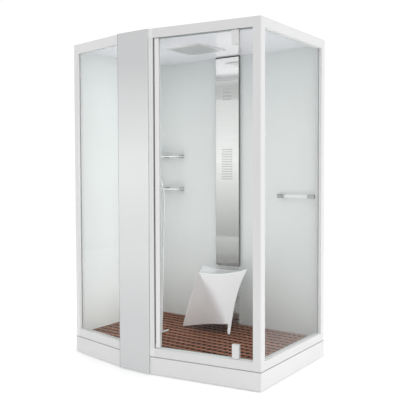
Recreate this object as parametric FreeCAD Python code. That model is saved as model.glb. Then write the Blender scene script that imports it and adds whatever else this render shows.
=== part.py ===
import FreeCAD
import Part
import math
import os

# Steam shower cabin with a bowed front: a pivot door, a technical column and a fixed pane in front,
# a glass right side, panelled back and left walls. Millimetres, +Z up, origin under the middle of the
# bounding box. The front faces -Y. Sides of the plan have their own s (along) and t (inwards) axes.

# ---------------------------------------------------------------- overall plan
WIDTH = 1500.0
DEPTH = 1020.0
HEIGHT = 2200.0
RIGHT_DEPTH = 886.0
LEFT_DEPTH = 925.0
DOOR_RUN = 742.0
COLUMN_WIDTH = 255.0
COVER_DEPTH = 10.0

# ---------------------------------------------------------------- levels
RIM_TOP = 120.0
TRAY_UNDERSIDE = 66.0
TRAY_FLOOR = 8.0
DECK_TOP = 140.0
DECK_THICKNESS = 18.0
BOTTOM_RAIL = 55.0
TOP_RAIL = 60.0
ROOF_DROP = 35.0
ROOF_THICKNESS = 6.0

# ---------------------------------------------------------------- clearances
SEAT_GAP = 0.3
BORE_GAP = 0.05
SLIP = 0.5
DECK_GAP = 5.0
OVERCUT = 1.0

# ---------------------------------------------------------------- base
APRON_THICKNESS = 6.0
APRON_FLOOR_GAP = 5.0
APRON_JOINT = 2.0
RIM_WIDTH = 50.0
COLUMN_LEDGE = 10.0
FRAME_TUBE_WIDTH = 25.0
FRAME_TUBE_HEIGHT = 22.0
FRAME_TUBE_ENDS = 30.0
FRAME_FRONT_SETBACK = 46.0
FRAME_MIDDLE_Y = 60.0
FRAME_BACK_SETBACK = 110.0
FRAME_CROSS_SETBACK = 120.0
FOOT_SETBACK = 40.0
FOOT_INNER_X = 230.0
FOOT_RADIUS = 30.0
FOOT_PAD = 10.0
FOOT_STUD_RADIUS = 6.0
FOOT_NUT_ACROSS = 19.0
FOOT_NUT_HEIGHT = 10.0
WASTE_X = -350.0
WASTE_Y = -100.0
WASTE_HOLE_RADIUS = 45.0
WASTE_BODY_RADIUS = 56.0
WASTE_WALL = 3.0
WASTE_PIPE_RADIUS = 19.0
WASTE_SPIGOT_RADIUS = 20.0
WASTE_SPIGOT_LENGTH = 50.0
WASTE_PIPE_Z = 23.5
WASTE_BODY_Z = 2.0
WASTE_PIPE_SETBACK = 5.0
GRATE_RADIUS = 57.0
GRATE_THICKNESS = 4.0
GRATE_HOLE_RADIUS = 4.0
GRATE_RING_RADII = (16.0, 30.0)
GRATE_RING_HOLES = (6, 12)

# ---------------------------------------------------------------- deck
DECK_PITCH_X = 42.5
DECK_PITCH_Y = 63.0
DECK_HOLE_X = 20.0
DECK_HOLE_Y = 36.0
DECK_BORDER = 14.0
DECK_SLIVER = 120.0
RUNNER_X = (-560.0, -270.0, 20.0, 280.0, 560.0)
RUNNER_WIDTH = 30.0
RUNNER_BACK = 30.0
RUNNER_FRONT = 6.0

# ---------------------------------------------------------------- frame
FRAME_DEPTH = 45.0
NEAR_POST_FRONT = 51.0
NEAR_POST_SIDE = 46.0
NEAR_POST_ARRIS = 9.0
REAR_POST_SIDE = 53.0
LEFT_POST_FRONT = 42.0
LEFT_POST_SIDE = 50.0
POST_ARRIS = 5.0
REAR_ANGLE_LEG = 60.0
JAMB_WIDTH = 31.0
JAMB_GROOVE_FROM_EDGE = 15.4
JAMB_GROOVE_RADIUS = 6.5
JAMB_GROOVE_DEPTH = 4.0
COLUMN_POST_WIDTH = 28.0

# ---------------------------------------------------------------- panes
PANE_THICKNESS = 6.0
PANE_SETBACK = 17.0
PANE_BITE = 10.0
GASKET_WALL = 1.5
GASKET_LIP = 3.5

# ---------------------------------------------------------------- door
DOOR_GLASS = 8.0
DOOR_SETBACK = 14.0
DOOR_FOOT_GAP = 7.0
DOOR_EDGE_GAP = 4.0
STILE_WIDTH = 28.0
STILE_DEPTH = 28.0
STILE_BITE = 12.0
STILE_END_GAP = 3.0
SEAL_GAP = 0.6
SEAL_WIDTH = 5.0
SEAL_DEPTH = 18.0
SWEEP_THICKNESS = 6.0
SWEEP_GAP = 0.8
SWEEP_LIP_SETBACK = 5.0
SWEEP_LIP_HEIGHT = 4.0
PIVOT_FROM_EDGE = 110.0
PATCH_WIDTH = 46.0
PATCH_HEIGHT = 86.0
PATCH_PLATE = 8.0
PATCH_ARRIS = 1.5
PATCH_SCREW_RADIUS = 5.0
PATCH_SCREW_LEVEL = 49.3
PIVOT_PIN_RADIUS = 6.0
PIVOT_PIN_LENGTH = 20.0
PIVOT_PIN_END_GAP = 1.0
BUSH_RADIUS = 10.0
BUSH_FLANGE_RADIUS = 13.0
BUSH_FLANGE = 2.0

# ---------------------------------------------------------------- walls
WALL_FACE = 25.0
WALL_THICKNESS = 6.0

# ---------------------------------------------------------------- technical column
COLUMN_DEPTH = 110.0
LINER_WALL = 4.0
COVER_WALL = 2.5
COVER_ARRIS = 3.0
COVER_JOINT = 1.5
TANK_LEFT_GAP = 52.0
TANK_RIGHT_GAP = 38.0
TANK_Z = (250.0, 555.0)
TANK_FRONT_GAP = 15.0
TANK_STANDOFF = 4.0
TANK_WALL = 2.5
TANK_ARRIS = 10.0
LUG_HEIGHT = 24.0
ELEMENT_RADIUS = 4.0
ELEMENT_SPREAD = 24.0
ELEMENT_HEIGHT = 230.0
ELEMENT_PORT_RADIUS = 24.0
ELEMENT_FLANGE_RADIUS = 32.0
ELEMENT_FLANGE = 8.0
STEAM_PIPE_RADIUS = 6.5
STEAM_PIPE_FROM_RIGHT = 16.0
STEAM_PIPE_TOP = 600.0
STEAM_PIPE_FROM_BACK = 35.0
STEAM_PORT_FROM_RIGHT = 68.0
NOZZLE_Z = 240.0
NOZZLE_RADIUS = 8.0
NOZZLE_LENGTH = 100.0
NOZZLE_FLANGE_RADIUS = 12.0
NOZZLE_FLANGE = 4.0
NOZZLE_MOUTH_RADIUS = 5.0
CONTROL_BOX = (170.0, 55.0, 110.0)
CONTROL_Z = 1500.0
CONTROL_LID = 3.0

# ---------------------------------------------------------------- mixer
MIXER_FROM_RIGHT = 118.0
MIXER_Z = 1060.0
MIXER_BLOCK = (70.0, 46.0, 180.0)
MIXER_NECK_RADIUS = 17.0
MIXER_PLATE = (92.0, 6.0, 210.0)
MIXER_PLATE_ARRIS = 4.0
SPINDLE_RADIUS = 5.0
SPINDLE_LENGTH = 26.0
SPINDLE_SPREAD = 100.0
KNOB_RADIUS = 23.0
KNOB_LENGTH = 32.0
KNOB_ARRIS = 2.0
KNOB_LEVER = (12.0, 12.0, 34.0)
INLET_RADIUS = 10.48
INLET_LENGTH = 20.0
INLET_SPREAD = 44.0

# ---------------------------------------------------------------- hand shower
HOSE_RADIUS = 6.0
HOSE_FERRULE_RADIUS = 7.0
HOSE_NUT_RADIUS = 9.5
HOSE_NUT_LENGTH = 16.0
HANDSET_RADIUS = 11.0
HANDSET_LENGTH = 190.0
HANDSET_NECK = 30.0
SPRAY_RADIUS = 19.0
SPRAY_LENGTH = 70.0
SPRAY_ARRIS = 5.0
HOLDER_HEIGHT = 34.0
HOLDER_WALL = 4.0
HOLDER_ARM_RADIUS = 9.0
HOLDER_FLANGE_RADIUS = 22.0
HOLDER_FLANGE = 5.0
ELBOW_RADIUS = 10.0
ELBOW_RISE = 14.0
ELBOW_FLANGE_RADIUS = 22.0
ELBOW_FLANGE = 4.0

# The hose from the handset to the elbow, point by point: x from the column's right edge, y from its rear.
HOSE_ROUTE = (
    (-32.0, 62.0, 1210.0),
    (-22.4, 62.0, 1183.7),
    (-17.0, 62.0, 1149.0),
    (-16.0, 62.0, 1100.0),
    (-19.0, 62.0, 1004.0),
    (-35.0, 61.0, 345.0),
    (-36.0, 61.0, 275.0),
    (-36.0, 61.0, 233.0),
    (-52.0, 61.0, 205.3),
    (-79.7, 61.0, 189.3),
    (-111.7, 61.0, 189.3),
    (-139.4, 60.0, 205.3),
    (-155.4, 59.0, 233.0),
    (-157.0, 57.0, 280.0),
    (-157.5, 51.0, 345.0),
    (-157.0, 41.0, 420.0),
    (-156.0, 32.0, 490.0),
    (-156.0, 28.0, 526.0),
    (-156.0, 28.0, 552.0),
)

# ---------------------------------------------------------------- steel shower panel
PANEL_X = -18.0
PANEL_WIDTH = 204.0
PANEL_DEPTH = 24.0
PANEL_SHEET = 2.0
PANEL_SPLIT = 583.0
PANEL_JOINT = 6.0
PANEL_FOOT_GAP = 2.0
JET_COLUMNS = 5
JET_ROWS = 13
JET_PITCH_X = 19.5
JET_PITCH_Z = 18.6
JET_SLOT = (13.0, 5.0)
JET_CENTRE_Z = 1355.0
JET_BLOCK_MARGIN = 12.0
JET_BLOCK_DEPTH = 20.0
KEY_COUNT = 4
KEY_PITCH_X = 20.0
KEY_PITCH_Z = 26.0
KEY_SIZE = (11.0, 9.0)
KEY_PROUD = 0.8
KEY_CENTRE_Z = 1883.0

# ---------------------------------------------------------------- rain head
RAIN_X = -30.0
RAIN_Y = 70.0
RAIN_SIDE = 300.0
RAIN_THICKNESS = 9.0
RAIN_ARRIS = 2.5
RAIN_NOZZLES = 10
RAIN_NOZZLE_PITCH = 27.0
RAIN_NOZZLE_RADIUS = 2.5
RAIN_NOZZLE_DEPTH = 2.0
FEED_RADIUS = 7.0
FEED_RISE = 19.0

# ---------------------------------------------------------------- shelves
SHELF_LEVELS = (1165.0, 1425.0)
SHELF_LEFT_GAP = 4.0
SHELF_LENGTH = 281.0
SHELF_DEPTH = 120.0
SHELF_THICKNESS = 10.0
SHELF_ARRIS = 12.0
CLIP_FROM_END = (115.0, 263.0)
CLIP_WIDTH = 26.0
CLIP_LENGTH = 34.0
CLIP_WALL = 4.0
CLIP_ARRIS = 1.5

# ---------------------------------------------------------------- towel bar
TOWEL_FROM_RIGHT = 192.0
TOWEL_Z = 1123.0
TOWEL_LENGTH = 284.0
TOWEL_BLOCK_LENGTH = 48.0
TOWEL_BLOCK_DEPTH = 40.0
TOWEL_HEIGHT = 28.0
TOWEL_BAR_HEIGHT = 24.0
TOWEL_BAR_THICKNESS = 10.0
TOWEL_BAR_BOW = 7.0
TOWEL_BAR_SETBACK = 9.0
TOWEL_ARRIS = 2.0

# ---------------------------------------------------------------- stool
STOOL_FEET_FROM_WALL = ((-245.0, 302.0), (184.0, 310.0), (-4.0, 39.0))
STOOL_SEAT_FROM_WALL = ((33.0, 484.0), (222.0, 112.0), (-183.0, 103.0))
STOOL_HEIGHT = 448.0
STOOL_WALL = 7.0
STOOL_SEAT_WALL = 14.0
STOOL_LEVELS = (0.03, 0.26, 0.5, 0.74, 0.97)
STOOL_SOFT_EDGES = (0.4, 0.46, 0.42, 0.22, 0.2)
STOOL_CRISP_EDGE = 0.04
STOOL_SOFT_WAISTS = (0.05, 0.10, 0.13)
STOOL_CRISP_WAISTS = (0.0, 0.14, 0.13)
STOOL_DISH_RADIUS = 1000.0
STOOL_DISH_DEPTH = 30.0
STOOL_ARCH_HEIGHT = 71.0
STOOL_ARCH_CURVE = ((0.04, 0.0), (0.35, 0.42), (0.6, 0.96), (0.955, 1.0))
STOOL_ARCH_OUTWARD = 100.0
STOOL_ARCH_INWARD = 14.0
STOOL_ARCH_BELOW = 20.0

vec = FreeCAD.Vector
Z_AXIS = vec(0, 0, 1)
Y_AXIS = vec(0, 1, 0)
X_AXIS = vec(1, 0, 0)


# ================================================================ plan geometry
def crossing(p, d, q, e):
    """Point where the line through p along d meets the line through q along e."""
    turn = d[0] * e[1] - d[1] * e[0]
    k = ((q[0] - p[0]) * e[1] - (q[1] - p[1]) * e[0]) / turn
    return (p[0] + k * d[0], p[1] + k * d[1])


class Side:
    """A straight side of the plan: s runs along it and t runs into the cabin."""

    def __init__(self, start, end):
        run = (end[0] - start[0], end[1] - start[1])
        self.start = start
        self.length = math.hypot(run[0], run[1])
        self.along = (run[0] / self.length, run[1] / self.length)
        self.inward = (-self.along[1], self.along[0])

    def point(self, s, t):
        x = self.start[0] + s * self.along[0] + t * self.inward[0]
        y = self.start[1] + s * self.along[1] + t * self.inward[1]
        return (x, y)

    def at_x(self, t, x):
        """Point at depth t on this side where the plan's x has the given value."""
        return crossing(self.point(0, t), self.along, (x, 0.0), (0.0, 1.0))


HALF_WIDTH = WIDTH / 2
BACK_Y = DEPTH / 2
COLUMN_FRONT_Y = -DEPTH / 2 + COVER_DEPTH
COLUMN_RIGHT_X = HALF_WIDTH - DOOR_RUN
COLUMN_LEFT_X = COLUMN_RIGHT_X - COLUMN_WIDTH
COLUMN_BACK_Y = COLUMN_FRONT_Y + COLUMN_DEPTH

REAR_RIGHT = (HALF_WIDTH, BACK_Y)
REAR_LEFT = (-HALF_WIDTH, BACK_Y)
LEFT_FRONT = (-HALF_WIDTH, BACK_Y - LEFT_DEPTH)
COLUMN_LEFT = (COLUMN_LEFT_X, COLUMN_FRONT_Y)
COLUMN_RIGHT = (COLUMN_RIGHT_X, COLUMN_FRONT_Y)
NEAR_RIGHT = (HALF_WIDTH, BACK_Y - RIGHT_DEPTH)

back = Side(REAR_RIGHT, REAR_LEFT)
left = Side(REAR_LEFT, LEFT_FRONT)
left_front = Side(LEFT_FRONT, COLUMN_LEFT)
column = Side(COLUMN_LEFT, COLUMN_RIGHT)
door = Side(COLUMN_RIGHT, NEAR_RIGHT)
right = Side(NEAR_RIGHT, REAR_RIGHT)
SIDES = (back, left, left_front, column, door, right)

SILL_TOP = RIM_TOP + BOTTOM_RAIL
HEAD_UNDERSIDE = HEIGHT - TOP_RAIL
CEILING = HEIGHT - ROOF_DROP
WALL_BACK = WALL_FACE - WALL_THICKNESS
WALL_FACE_Y = BACK_Y - WALL_FACE
WALL_FACE_X = -HALF_WIDTH + WALL_FACE


def inset(depths):
    """Corners of the plan with each side moved inwards by its own depth."""
    corners = []
    for i in range(len(SIDES)):
        before = SIDES[i - 1]
        after = SIDES[i]
        start = before.point(0, depths[i - 1])
        corners.append(crossing(start, before.along, after.point(0, depths[i]), after.along))
    return corners


# ================================================================ solid helpers
def box(x, y, z):
    """Box between the low and high values of x, y and z."""
    return Part.makeBox(x[1] - x[0], y[1] - y[0], z[1] - z[0], vec(x[0], y[0], z[0]))


def wire(points, z):
    """Closed polygon at height z."""
    corners = [vec(p[0], p[1], z) for p in points]
    return Part.makePolygon(corners + [corners[0]])


def prism(points, z):
    """Upright prism on a plan polygon between two heights."""
    return Part.Face(wire(points, z[0])).extrude(vec(0, 0, z[1] - z[0]))


def band(side, s, t, z):
    """Box in the axes of one side."""
    near = [side.point(s[0], t[0]), side.point(s[1], t[0])]
    far = [side.point(s[1], t[1]), side.point(s[0], t[1])]
    return prism(near + far, z)


def rod(radius, start, end):
    """Cylinder between two points."""
    run = end.sub(start)
    return Part.makeCylinder(radius, run.Length, start, run)


def fused(shapes):
    """One solid from overlapping or touching shapes."""
    return shapes[0].multiFuse(shapes[1:]).removeSplitter()


def softened(shape, radius, chosen):
    """Shape with a fillet on each edge that the chosen test picks."""
    edges = [e for e in shape.Edges if chosen(e)]
    return shape.makeFillet(radius, edges)


def upright_at(point):
    """Test for the vertical edge that stands on a plan point."""
    def test(edge):
        low = edge.Vertexes[0].Point
        high = edge.Vertexes[-1].Point
        stands = abs(low.x - high.x) + abs(low.y - high.y) < 1e-6
        return stands and math.hypot(low.x - point[0], low.y - point[1]) < 1e-3
    return test


def along_axis(axis):
    """Test for straight edges parallel to an axis."""
    def test(edge):
        run = edge.Vertexes[-1].Point.sub(edge.Vertexes[0].Point)
        return run.Length > 1e-6 and run.cross(axis).Length < 1e-6 * run.Length
    return test


def save(name, *shapes):
    """Write one node, as one solid or as the several pieces that share it."""
    whole = shapes[0] if len(shapes) == 1 else Part.makeCompound(list(shapes))
    whole.exportStep("parts/" + name + ".step")


# ================================================================ base
def make_tray():
    edge = APRON_THICKNESS
    outer = inset((0.0, 0.0, edge, edge, edge, edge))
    tray = prism(outer, (TRAY_UNDERSIDE, RIM_TOP))
    basin = prism(inset((RIM_WIDTH,) * len(SIDES)), (TRAY_UNDERSIDE + TRAY_FLOOR, RIM_TOP))
    ledge_x = (COLUMN_LEFT_X - COLUMN_LEDGE, COLUMN_RIGHT_X + COLUMN_LEDGE)
    ledge_y = (COLUMN_FRONT_Y, COLUMN_BACK_Y + COLUMN_LEDGE)
    basin = basin.cut(box(ledge_x, ledge_y, (TRAY_UNDERSIDE, RIM_TOP)))
    tray = tray.cut(basin)
    low = vec(WASTE_X, WASTE_Y, TRAY_UNDERSIDE)
    high = vec(WASTE_X, WASTE_Y, RIM_TOP)
    save("shower_tray", tray.cut(rod(WASTE_HOLE_RADIUS, low, high)))


FRAME_REACH = HALF_WIDTH - FRAME_TUBE_ENDS
FRAME_FRONT_Y = max(NEAR_RIGHT[1], LEFT_FRONT[1]) + FRAME_FRONT_SETBACK
FRAME_LONG_Y = (FRAME_FRONT_Y, FRAME_MIDDLE_Y, BACK_Y - FRAME_BACK_SETBACK)


def make_tray_frame():
    z = (TRAY_UNDERSIDE - FRAME_TUBE_HEIGHT, TRAY_UNDERSIDE)
    half = FRAME_TUBE_WIDTH / 2
    tubes = [box((-FRAME_REACH, FRAME_REACH), (y - half, y + half), z) for y in FRAME_LONG_Y]
    cross = FRAME_REACH - FRAME_CROSS_SETBACK
    for front, rear in zip(FRAME_LONG_Y[:-1], FRAME_LONG_Y[1:]):
        for x in (-cross, 0.0, cross):
            tubes.append(box((x - half, x + half), (front + half, rear - half), z))
    save("tray_frame", *tubes)


def make_feet():
    top = TRAY_UNDERSIDE - FRAME_TUBE_HEIGHT
    nut_radius = FOOT_NUT_ACROSS / math.sqrt(3)
    outer = FRAME_REACH - FOOT_SETBACK
    feet = []
    for y in (FRAME_LONG_Y[0], FRAME_LONG_Y[-1]):
        for x in (-outer, -FOOT_INNER_X, FOOT_INNER_X, outer):
            pad = rod(FOOT_RADIUS, vec(x, y, 0), vec(x, y, FOOT_PAD))
            stud = rod(FOOT_STUD_RADIUS, vec(x, y, FOOT_PAD), vec(x, y, top))
            turns = [math.radians(60 * i) for i in range(6)]
            corners = [(x + nut_radius * math.cos(a), y + nut_radius * math.sin(a)) for a in turns]
            nut = prism(corners, (top - FOOT_NUT_HEIGHT, top))
            feet.append(fused([pad, stud, nut]))
    save("levelling_feet", *feet)


def make_waste():
    centre = vec(WASTE_X, WASTE_Y, WASTE_BODY_Z)
    shell = rod(WASTE_BODY_RADIUS, centre, vec(WASTE_X, WASTE_Y, TRAY_UNDERSIDE))
    pipe_start = vec(WASTE_X, WASTE_Y, WASTE_PIPE_Z)
    pipe_end = vec(WASTE_X, BACK_Y - WASTE_PIPE_SETBACK, WASTE_PIPE_Z)
    spigot_start = pipe_end.sub(vec(0, WASTE_SPIGOT_LENGTH, 0))
    pipe = rod(WASTE_PIPE_RADIUS, pipe_start, spigot_start)
    body = shell.multiFuse([pipe, rod(WASTE_SPIGOT_RADIUS, spigot_start, pipe_end)])
    cup_floor = centre.add(vec(0, 0, WASTE_WALL))
    cup = rod(WASTE_BODY_RADIUS - WASTE_WALL, cup_floor, vec(WASTE_X, WASTE_Y, RIM_TOP))
    bore = rod(WASTE_PIPE_RADIUS - WASTE_WALL, pipe_start, pipe_end.add(vec(0, OVERCUT, 0)))
    save("waste_body", body.cut(cup).cut(bore))
    floor = TRAY_UNDERSIDE + TRAY_FLOOR
    grate = rod(GRATE_RADIUS, vec(WASTE_X, WASTE_Y, floor), vec(WASTE_X, WASTE_Y, floor + GRATE_THICKNESS))
    holes = []
    for ring_radius, count in zip(GRATE_RING_RADII, GRATE_RING_HOLES):
        for i in range(count):
            a = 2 * math.pi * i / count
            foot = vec(WASTE_X + ring_radius * math.cos(a), WASTE_Y + ring_radius * math.sin(a), floor)
            holes.append(rod(GRATE_HOLE_RADIUS, foot, foot.add(vec(0, 0, GRATE_THICKNESS))))
    save("waste_grate", grate.cut(holes))


def make_aprons():
    outer = inset((0.0,) * len(SIDES))
    inner = inset((0.0, 0.0) + (APRON_THICKNESS,) * 4)
    z = (APRON_FLOOR_GAP, RIM_TOP - APRON_JOINT)
    for name, i in (("apron_left_front", 2), ("apron_door", 4), ("apron_right", 5)):
        j = (i + 1) % len(SIDES)
        save(name, prism([outer[i], outer[j], inner[j], inner[i]], z))


def clipped(polygon, side, depth):
    """Part of a convex polygon that lies further in than a depth from one side."""
    def height(p):
        return (p[0] - side.start[0]) * side.inward[0] + (p[1] - side.start[1]) * side.inward[1] - depth

    kept = []
    for i, p in enumerate(polygon):
        q = polygon[(i + 1) % len(polygon)]
        hp = height(p)
        hq = height(q)
        if hp >= 0:
            kept.append(p)
        if hp * hq < 0:
            k = hp / (hp - hq)
            kept.append((p[0] + k * (q[0] - p[0]), p[1] + k * (q[1] - p[1])))
    return kept


def polygon_area(polygon):
    total = 0.0
    for i, p in enumerate(polygon):
        q = polygon[(i + 1) % len(polygon)]
        total += p[0] * q[1] - q[0] * p[1]
    return total / 2


def deck_hole_centres(low, high, pitch):
    """Places of the holes along one axis, centred between the two limits."""
    count = int((high - low) / pitch)
    first = (low + high - (count - 1) * pitch) / 2
    return [first + i * pitch for i in range(count)]


def make_deck():
    wall = WALL_FACE + DECK_GAP
    rail = FRAME_DEPTH + DECK_GAP
    depths = (wall, wall, rail, rail, rail, rail)
    corners = inset(depths)
    notch_x = (COLUMN_LEFT_X - DECK_GAP, COLUMN_RIGHT_X + DECK_GAP)
    notch_y = COLUMN_BACK_Y + DECK_GAP
    outline = [corners[0], corners[1], corners[2], left_front.at_x(rail, notch_x[0]), (notch_x[0], notch_y)]
    outline += [(notch_x[1], notch_y), door.at_x(rail, notch_x[1]), corners[5]]
    low = DECK_TOP - DECK_THICKNESS
    half_x = DECK_HOLE_X / 2
    half_y = DECK_HOLE_Y / 2
    x_low = corners[1][0] + DECK_BORDER
    x_high = corners[0][0] - DECK_BORDER
    y_high = corners[0][1] - DECK_BORDER
    holes = []
    for x in deck_hole_centres(x_low, x_high, DECK_PITCH_X):
        for y in deck_hole_centres(COLUMN_FRONT_Y, y_high, DECK_PITCH_Y):
            hole = [(x - half_x, y - half_y), (x + half_x, y - half_y)]
            hole += [(x + half_x, y + half_y), (x - half_x, y + half_y)]
            beside = x + half_x < notch_x[0] - DECK_BORDER or x - half_x > notch_x[1] + DECK_BORDER
            if not beside and y - half_y < notch_y + DECK_BORDER:
                continue
            for side in (left_front, door):
                hole = clipped(hole, side, rail + DECK_BORDER)
            if len(hole) > 2 and polygon_area(hole) > DECK_SLIVER:
                holes.append(wire(hole, low))
    face = Part.Face([wire(outline, low)] + holes)
    save("deck_grating", face.extrude(vec(0, 0, DECK_THICKNESS)))


def make_runners():
    z = (TRAY_UNDERSIDE + TRAY_FLOOR, DECK_TOP - DECK_THICKNESS)
    basin_front = max(NEAR_RIGHT[1] + RIM_WIDTH, LEFT_FRONT[1] + RIM_WIDTH, COLUMN_BACK_Y + COLUMN_LEDGE)
    y = (basin_front + RUNNER_FRONT, BACK_Y - RIM_WIDTH - RUNNER_BACK)
    half = RUNNER_WIDTH / 2
    runners = [box((x - half, x + half), y, z) for x in RUNNER_X]
    save("deck_runners", *runners)


# ================================================================ frame and panes
def opening_of(side, s):
    """Daylight of a fixed pane: its side, its span along the side and its heights."""
    return (side, s, (SILL_TOP, HEAD_UNDERSIDE))


def grown(opening, by, t):
    """Box round a pane's daylight, grown by a margin along the side and in height."""
    side, s, z = opening
    return band(side, (s[0] - by, s[1] + by), t, (z[0] - by, z[1] + by))


PANE_T = (PANE_SETBACK, PANE_SETBACK + PANE_THICKNESS)
GROOVE_T = (PANE_T[0] - GASKET_WALL, PANE_T[1] + GASKET_WALL)
pane_end_s = left_front.length - PANE_T[0] * left_front.inward[0]
right_opening = opening_of(right, (NEAR_POST_SIDE, right.length - REAR_POST_SIDE))
left_opening = opening_of(left_front, (LEFT_POST_FRONT, pane_end_s))


def pane(opening):
    return grown(opening, PANE_BITE, PANE_T)


def groove(opening):
    return grown(opening, PANE_BITE + GASKET_WALL, GROOVE_T)


def gasket(opening):
    ring = groove(opening).cut(grown(opening, -GASKET_LIP, GROOVE_T))
    return ring.cut(pane(opening))


def corner_post(before, after, widths, depths):
    """Plan of a post that follows both sides of a corner."""
    inner = crossing(before.point(0, depths[0]), before.along, after.point(0, depths[1]), after.along)
    tail = before.length - widths[0]
    outer = [before.point(tail, 0), after.start, after.point(widths[1], 0)]
    return outer + [after.point(widths[1], depths[1]), inner, before.point(tail, depths[0])]


def make_posts():
    z = (RIM_TOP, HEIGHT)
    near = prism(corner_post(door, right, (NEAR_POST_FRONT, NEAR_POST_SIDE), (FRAME_DEPTH,) * 2), z)
    near = softened(near, NEAR_POST_ARRIS, upright_at(NEAR_RIGHT))
    save("post_front_right", near.cut(groove(right_opening)))
    span = (right.length - REAR_POST_SIDE, right.length)
    rear = softened(band(right, span, (0.0, FRAME_DEPTH), z), POST_ARRIS, upright_at(REAR_RIGHT))
    save("post_rear_right", rear.cut(groove(right_opening)))
    widths = (LEFT_POST_SIDE, LEFT_POST_FRONT)
    front = prism(corner_post(left, left_front, widths, (WALL_FACE, FRAME_DEPTH)), z)
    front = softened(front, POST_ARRIS, upright_at(LEFT_FRONT))
    save("post_front_left", front.cut(groove(left_opening)))
    save("post_rear_left", prism(corner_post(back, left, (REAR_ANGLE_LEG,) * 2, (WALL_BACK,) * 2), z))
    jamb_end = door.at_x(FRAME_DEPTH, COLUMN_RIGHT_X)
    jamb = [COLUMN_RIGHT, door.point(JAMB_WIDTH, 0), door.point(JAMB_WIDTH, FRAME_DEPTH), jamb_end]
    x, y = door.point(JAMB_GROOVE_FROM_EDGE, JAMB_GROOVE_DEPTH - JAMB_GROOVE_RADIUS)
    flute = rod(JAMB_GROOVE_RADIUS, vec(x, y, SILL_TOP), vec(x, y, HEAD_UNDERSIDE))
    save("door_jamb", prism(jamb, z).cut(flute))
    post = band(column, (0.0, COLUMN_POST_WIDTH), (0.0, FRAME_DEPTH), z)
    save("column_post", post.cut(groove(left_opening)))


def make_rails():
    levels = (("bottom", (RIM_TOP, SILL_TOP)), ("top", (HEAD_UNDERSIDE, HEIGHT)))
    rail_start = LEFT_POST_FRONT
    corner = left_front.at_x(FRAME_DEPTH, COLUMN_LEFT_X)
    skew = [left_front.point(rail_start, 0), COLUMN_LEFT, corner, left_front.point(rail_start, FRAME_DEPTH)]
    depth = (0.0, FRAME_DEPTH)
    for level, z in levels:
        pivot_bore = pivot_bore_at(level)
        rail = band(door, (JAMB_WIDTH, door.length - NEAR_POST_FRONT), depth, z)
        save(level + "_rail_door", rail.cut(pivot_bore))
        rail = band(right, (NEAR_POST_SIDE, right.length - REAR_POST_SIDE), depth, z)
        save(level + "_rail_right", rail.cut(groove(right_opening)))
        save(level + "_rail_left_front", prism(skew, z).cut(groove(left_opening)))
    cross = [band(column, (COLUMN_POST_WIDTH, column.length), depth, z) for level, z in levels]
    save("column_cross_rails", *cross)


def make_panes():
    save("glass_right", pane(right_opening))
    save("glass_left_front", pane(left_opening))
    t0 = DOOR_SETBACK + DOOR_GLASS / 2 - SEAL_DEPTH / 2
    z = (SILL_TOP + SLIP, HEAD_UNDERSIDE - SLIP)
    jamb_seal = band(door, (JAMB_WIDTH, JAMB_WIDTH + SEAL_WIDTH), (t0, t0 + SEAL_DEPTH), z)
    save("frame_seals", gasket(right_opening), gasket(left_opening), jamb_seal)


# ================================================================ door
DOOR_GLASS_T = (DOOR_SETBACK, DOOR_SETBACK + DOOR_GLASS)
DOOR_MID_T = DOOR_SETBACK + DOOR_GLASS / 2
DOOR_Z = (SILL_TOP + DOOR_FOOT_GAP, HEAD_UNDERSIDE - DOOR_FOOT_GAP)
LEAD_SEAL_S = JAMB_WIDTH + SEAL_WIDTH + SEAL_GAP
STILE_S = LEAD_SEAL_S + SEAL_WIDTH
GLASS_END_S = door.length - NEAR_POST_FRONT - DOOR_EDGE_GAP
PIVOT_S = GLASS_END_S - PIVOT_FROM_EDGE
PATCH_S = (PIVOT_S - PATCH_WIDTH / 2, PIVOT_S + PATCH_WIDTH / 2)
PIVOT = door.point(PIVOT_S, DOOR_MID_T)
PIVOT_LEVELS = {"bottom": (SILL_TOP, 1.0), "top": (HEAD_UNDERSIDE, -1.0)}


def on_pivot(z):
    return vec(PIVOT[0], PIVOT[1], z)


def pivot_bore_at(level):
    """Blind hole for a bush, from the rail's face into the rail."""
    face, out = PIVOT_LEVELS[level]
    depth = PIVOT_PIN_LENGTH + OVERCUT
    return rod(BUSH_RADIUS + BORE_GAP, on_pivot(face), on_pivot(face - out * depth))


def make_bushes():
    bushes = []
    for face, out in PIVOT_LEVELS.values():
        lip = on_pivot(face + out * BUSH_FLANGE)
        sleeve = rod(BUSH_RADIUS, on_pivot(face - out * PIVOT_PIN_LENGTH), lip)
        flange = rod(BUSH_FLANGE_RADIUS, on_pivot(face), lip)
        low = on_pivot(face - out * (PIVOT_PIN_LENGTH + OVERCUT))
        bore = rod(PIVOT_PIN_RADIUS + BORE_GAP, low, on_pivot(face + out * (BUSH_FLANGE + OVERCUT)))
        bushes.append(sleeve.fuse(flange).cut(bore))
    save("pivot_bushes", *bushes)


def patch_at(level):
    """U-shaped patch that grips the leaf's edge, with its pivot pin."""
    face, out = PIVOT_LEVELS[level]
    near = face + out * (BUSH_FLANGE + SEAT_GAP)
    far = near + out * PATCH_HEIGHT
    t = (DOOR_GLASS_T[0] - PATCH_PLATE, DOOR_GLASS_T[1] + PATCH_PLATE)
    body = band(door, PATCH_S, t, (min(near, far), max(near, far)))
    body = softened(body, PATCH_ARRIS, lambda edge: edge.Length > PATCH_WIDTH / 2)
    pin_end = face - out * (PIVOT_PIN_LENGTH - PIVOT_PIN_END_GAP)
    pin = rod(PIVOT_PIN_RADIUS, on_pivot(near + out * OVERCUT), on_pivot(pin_end))
    return body.fuse(pin).cut(door_glass_blank())


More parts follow.
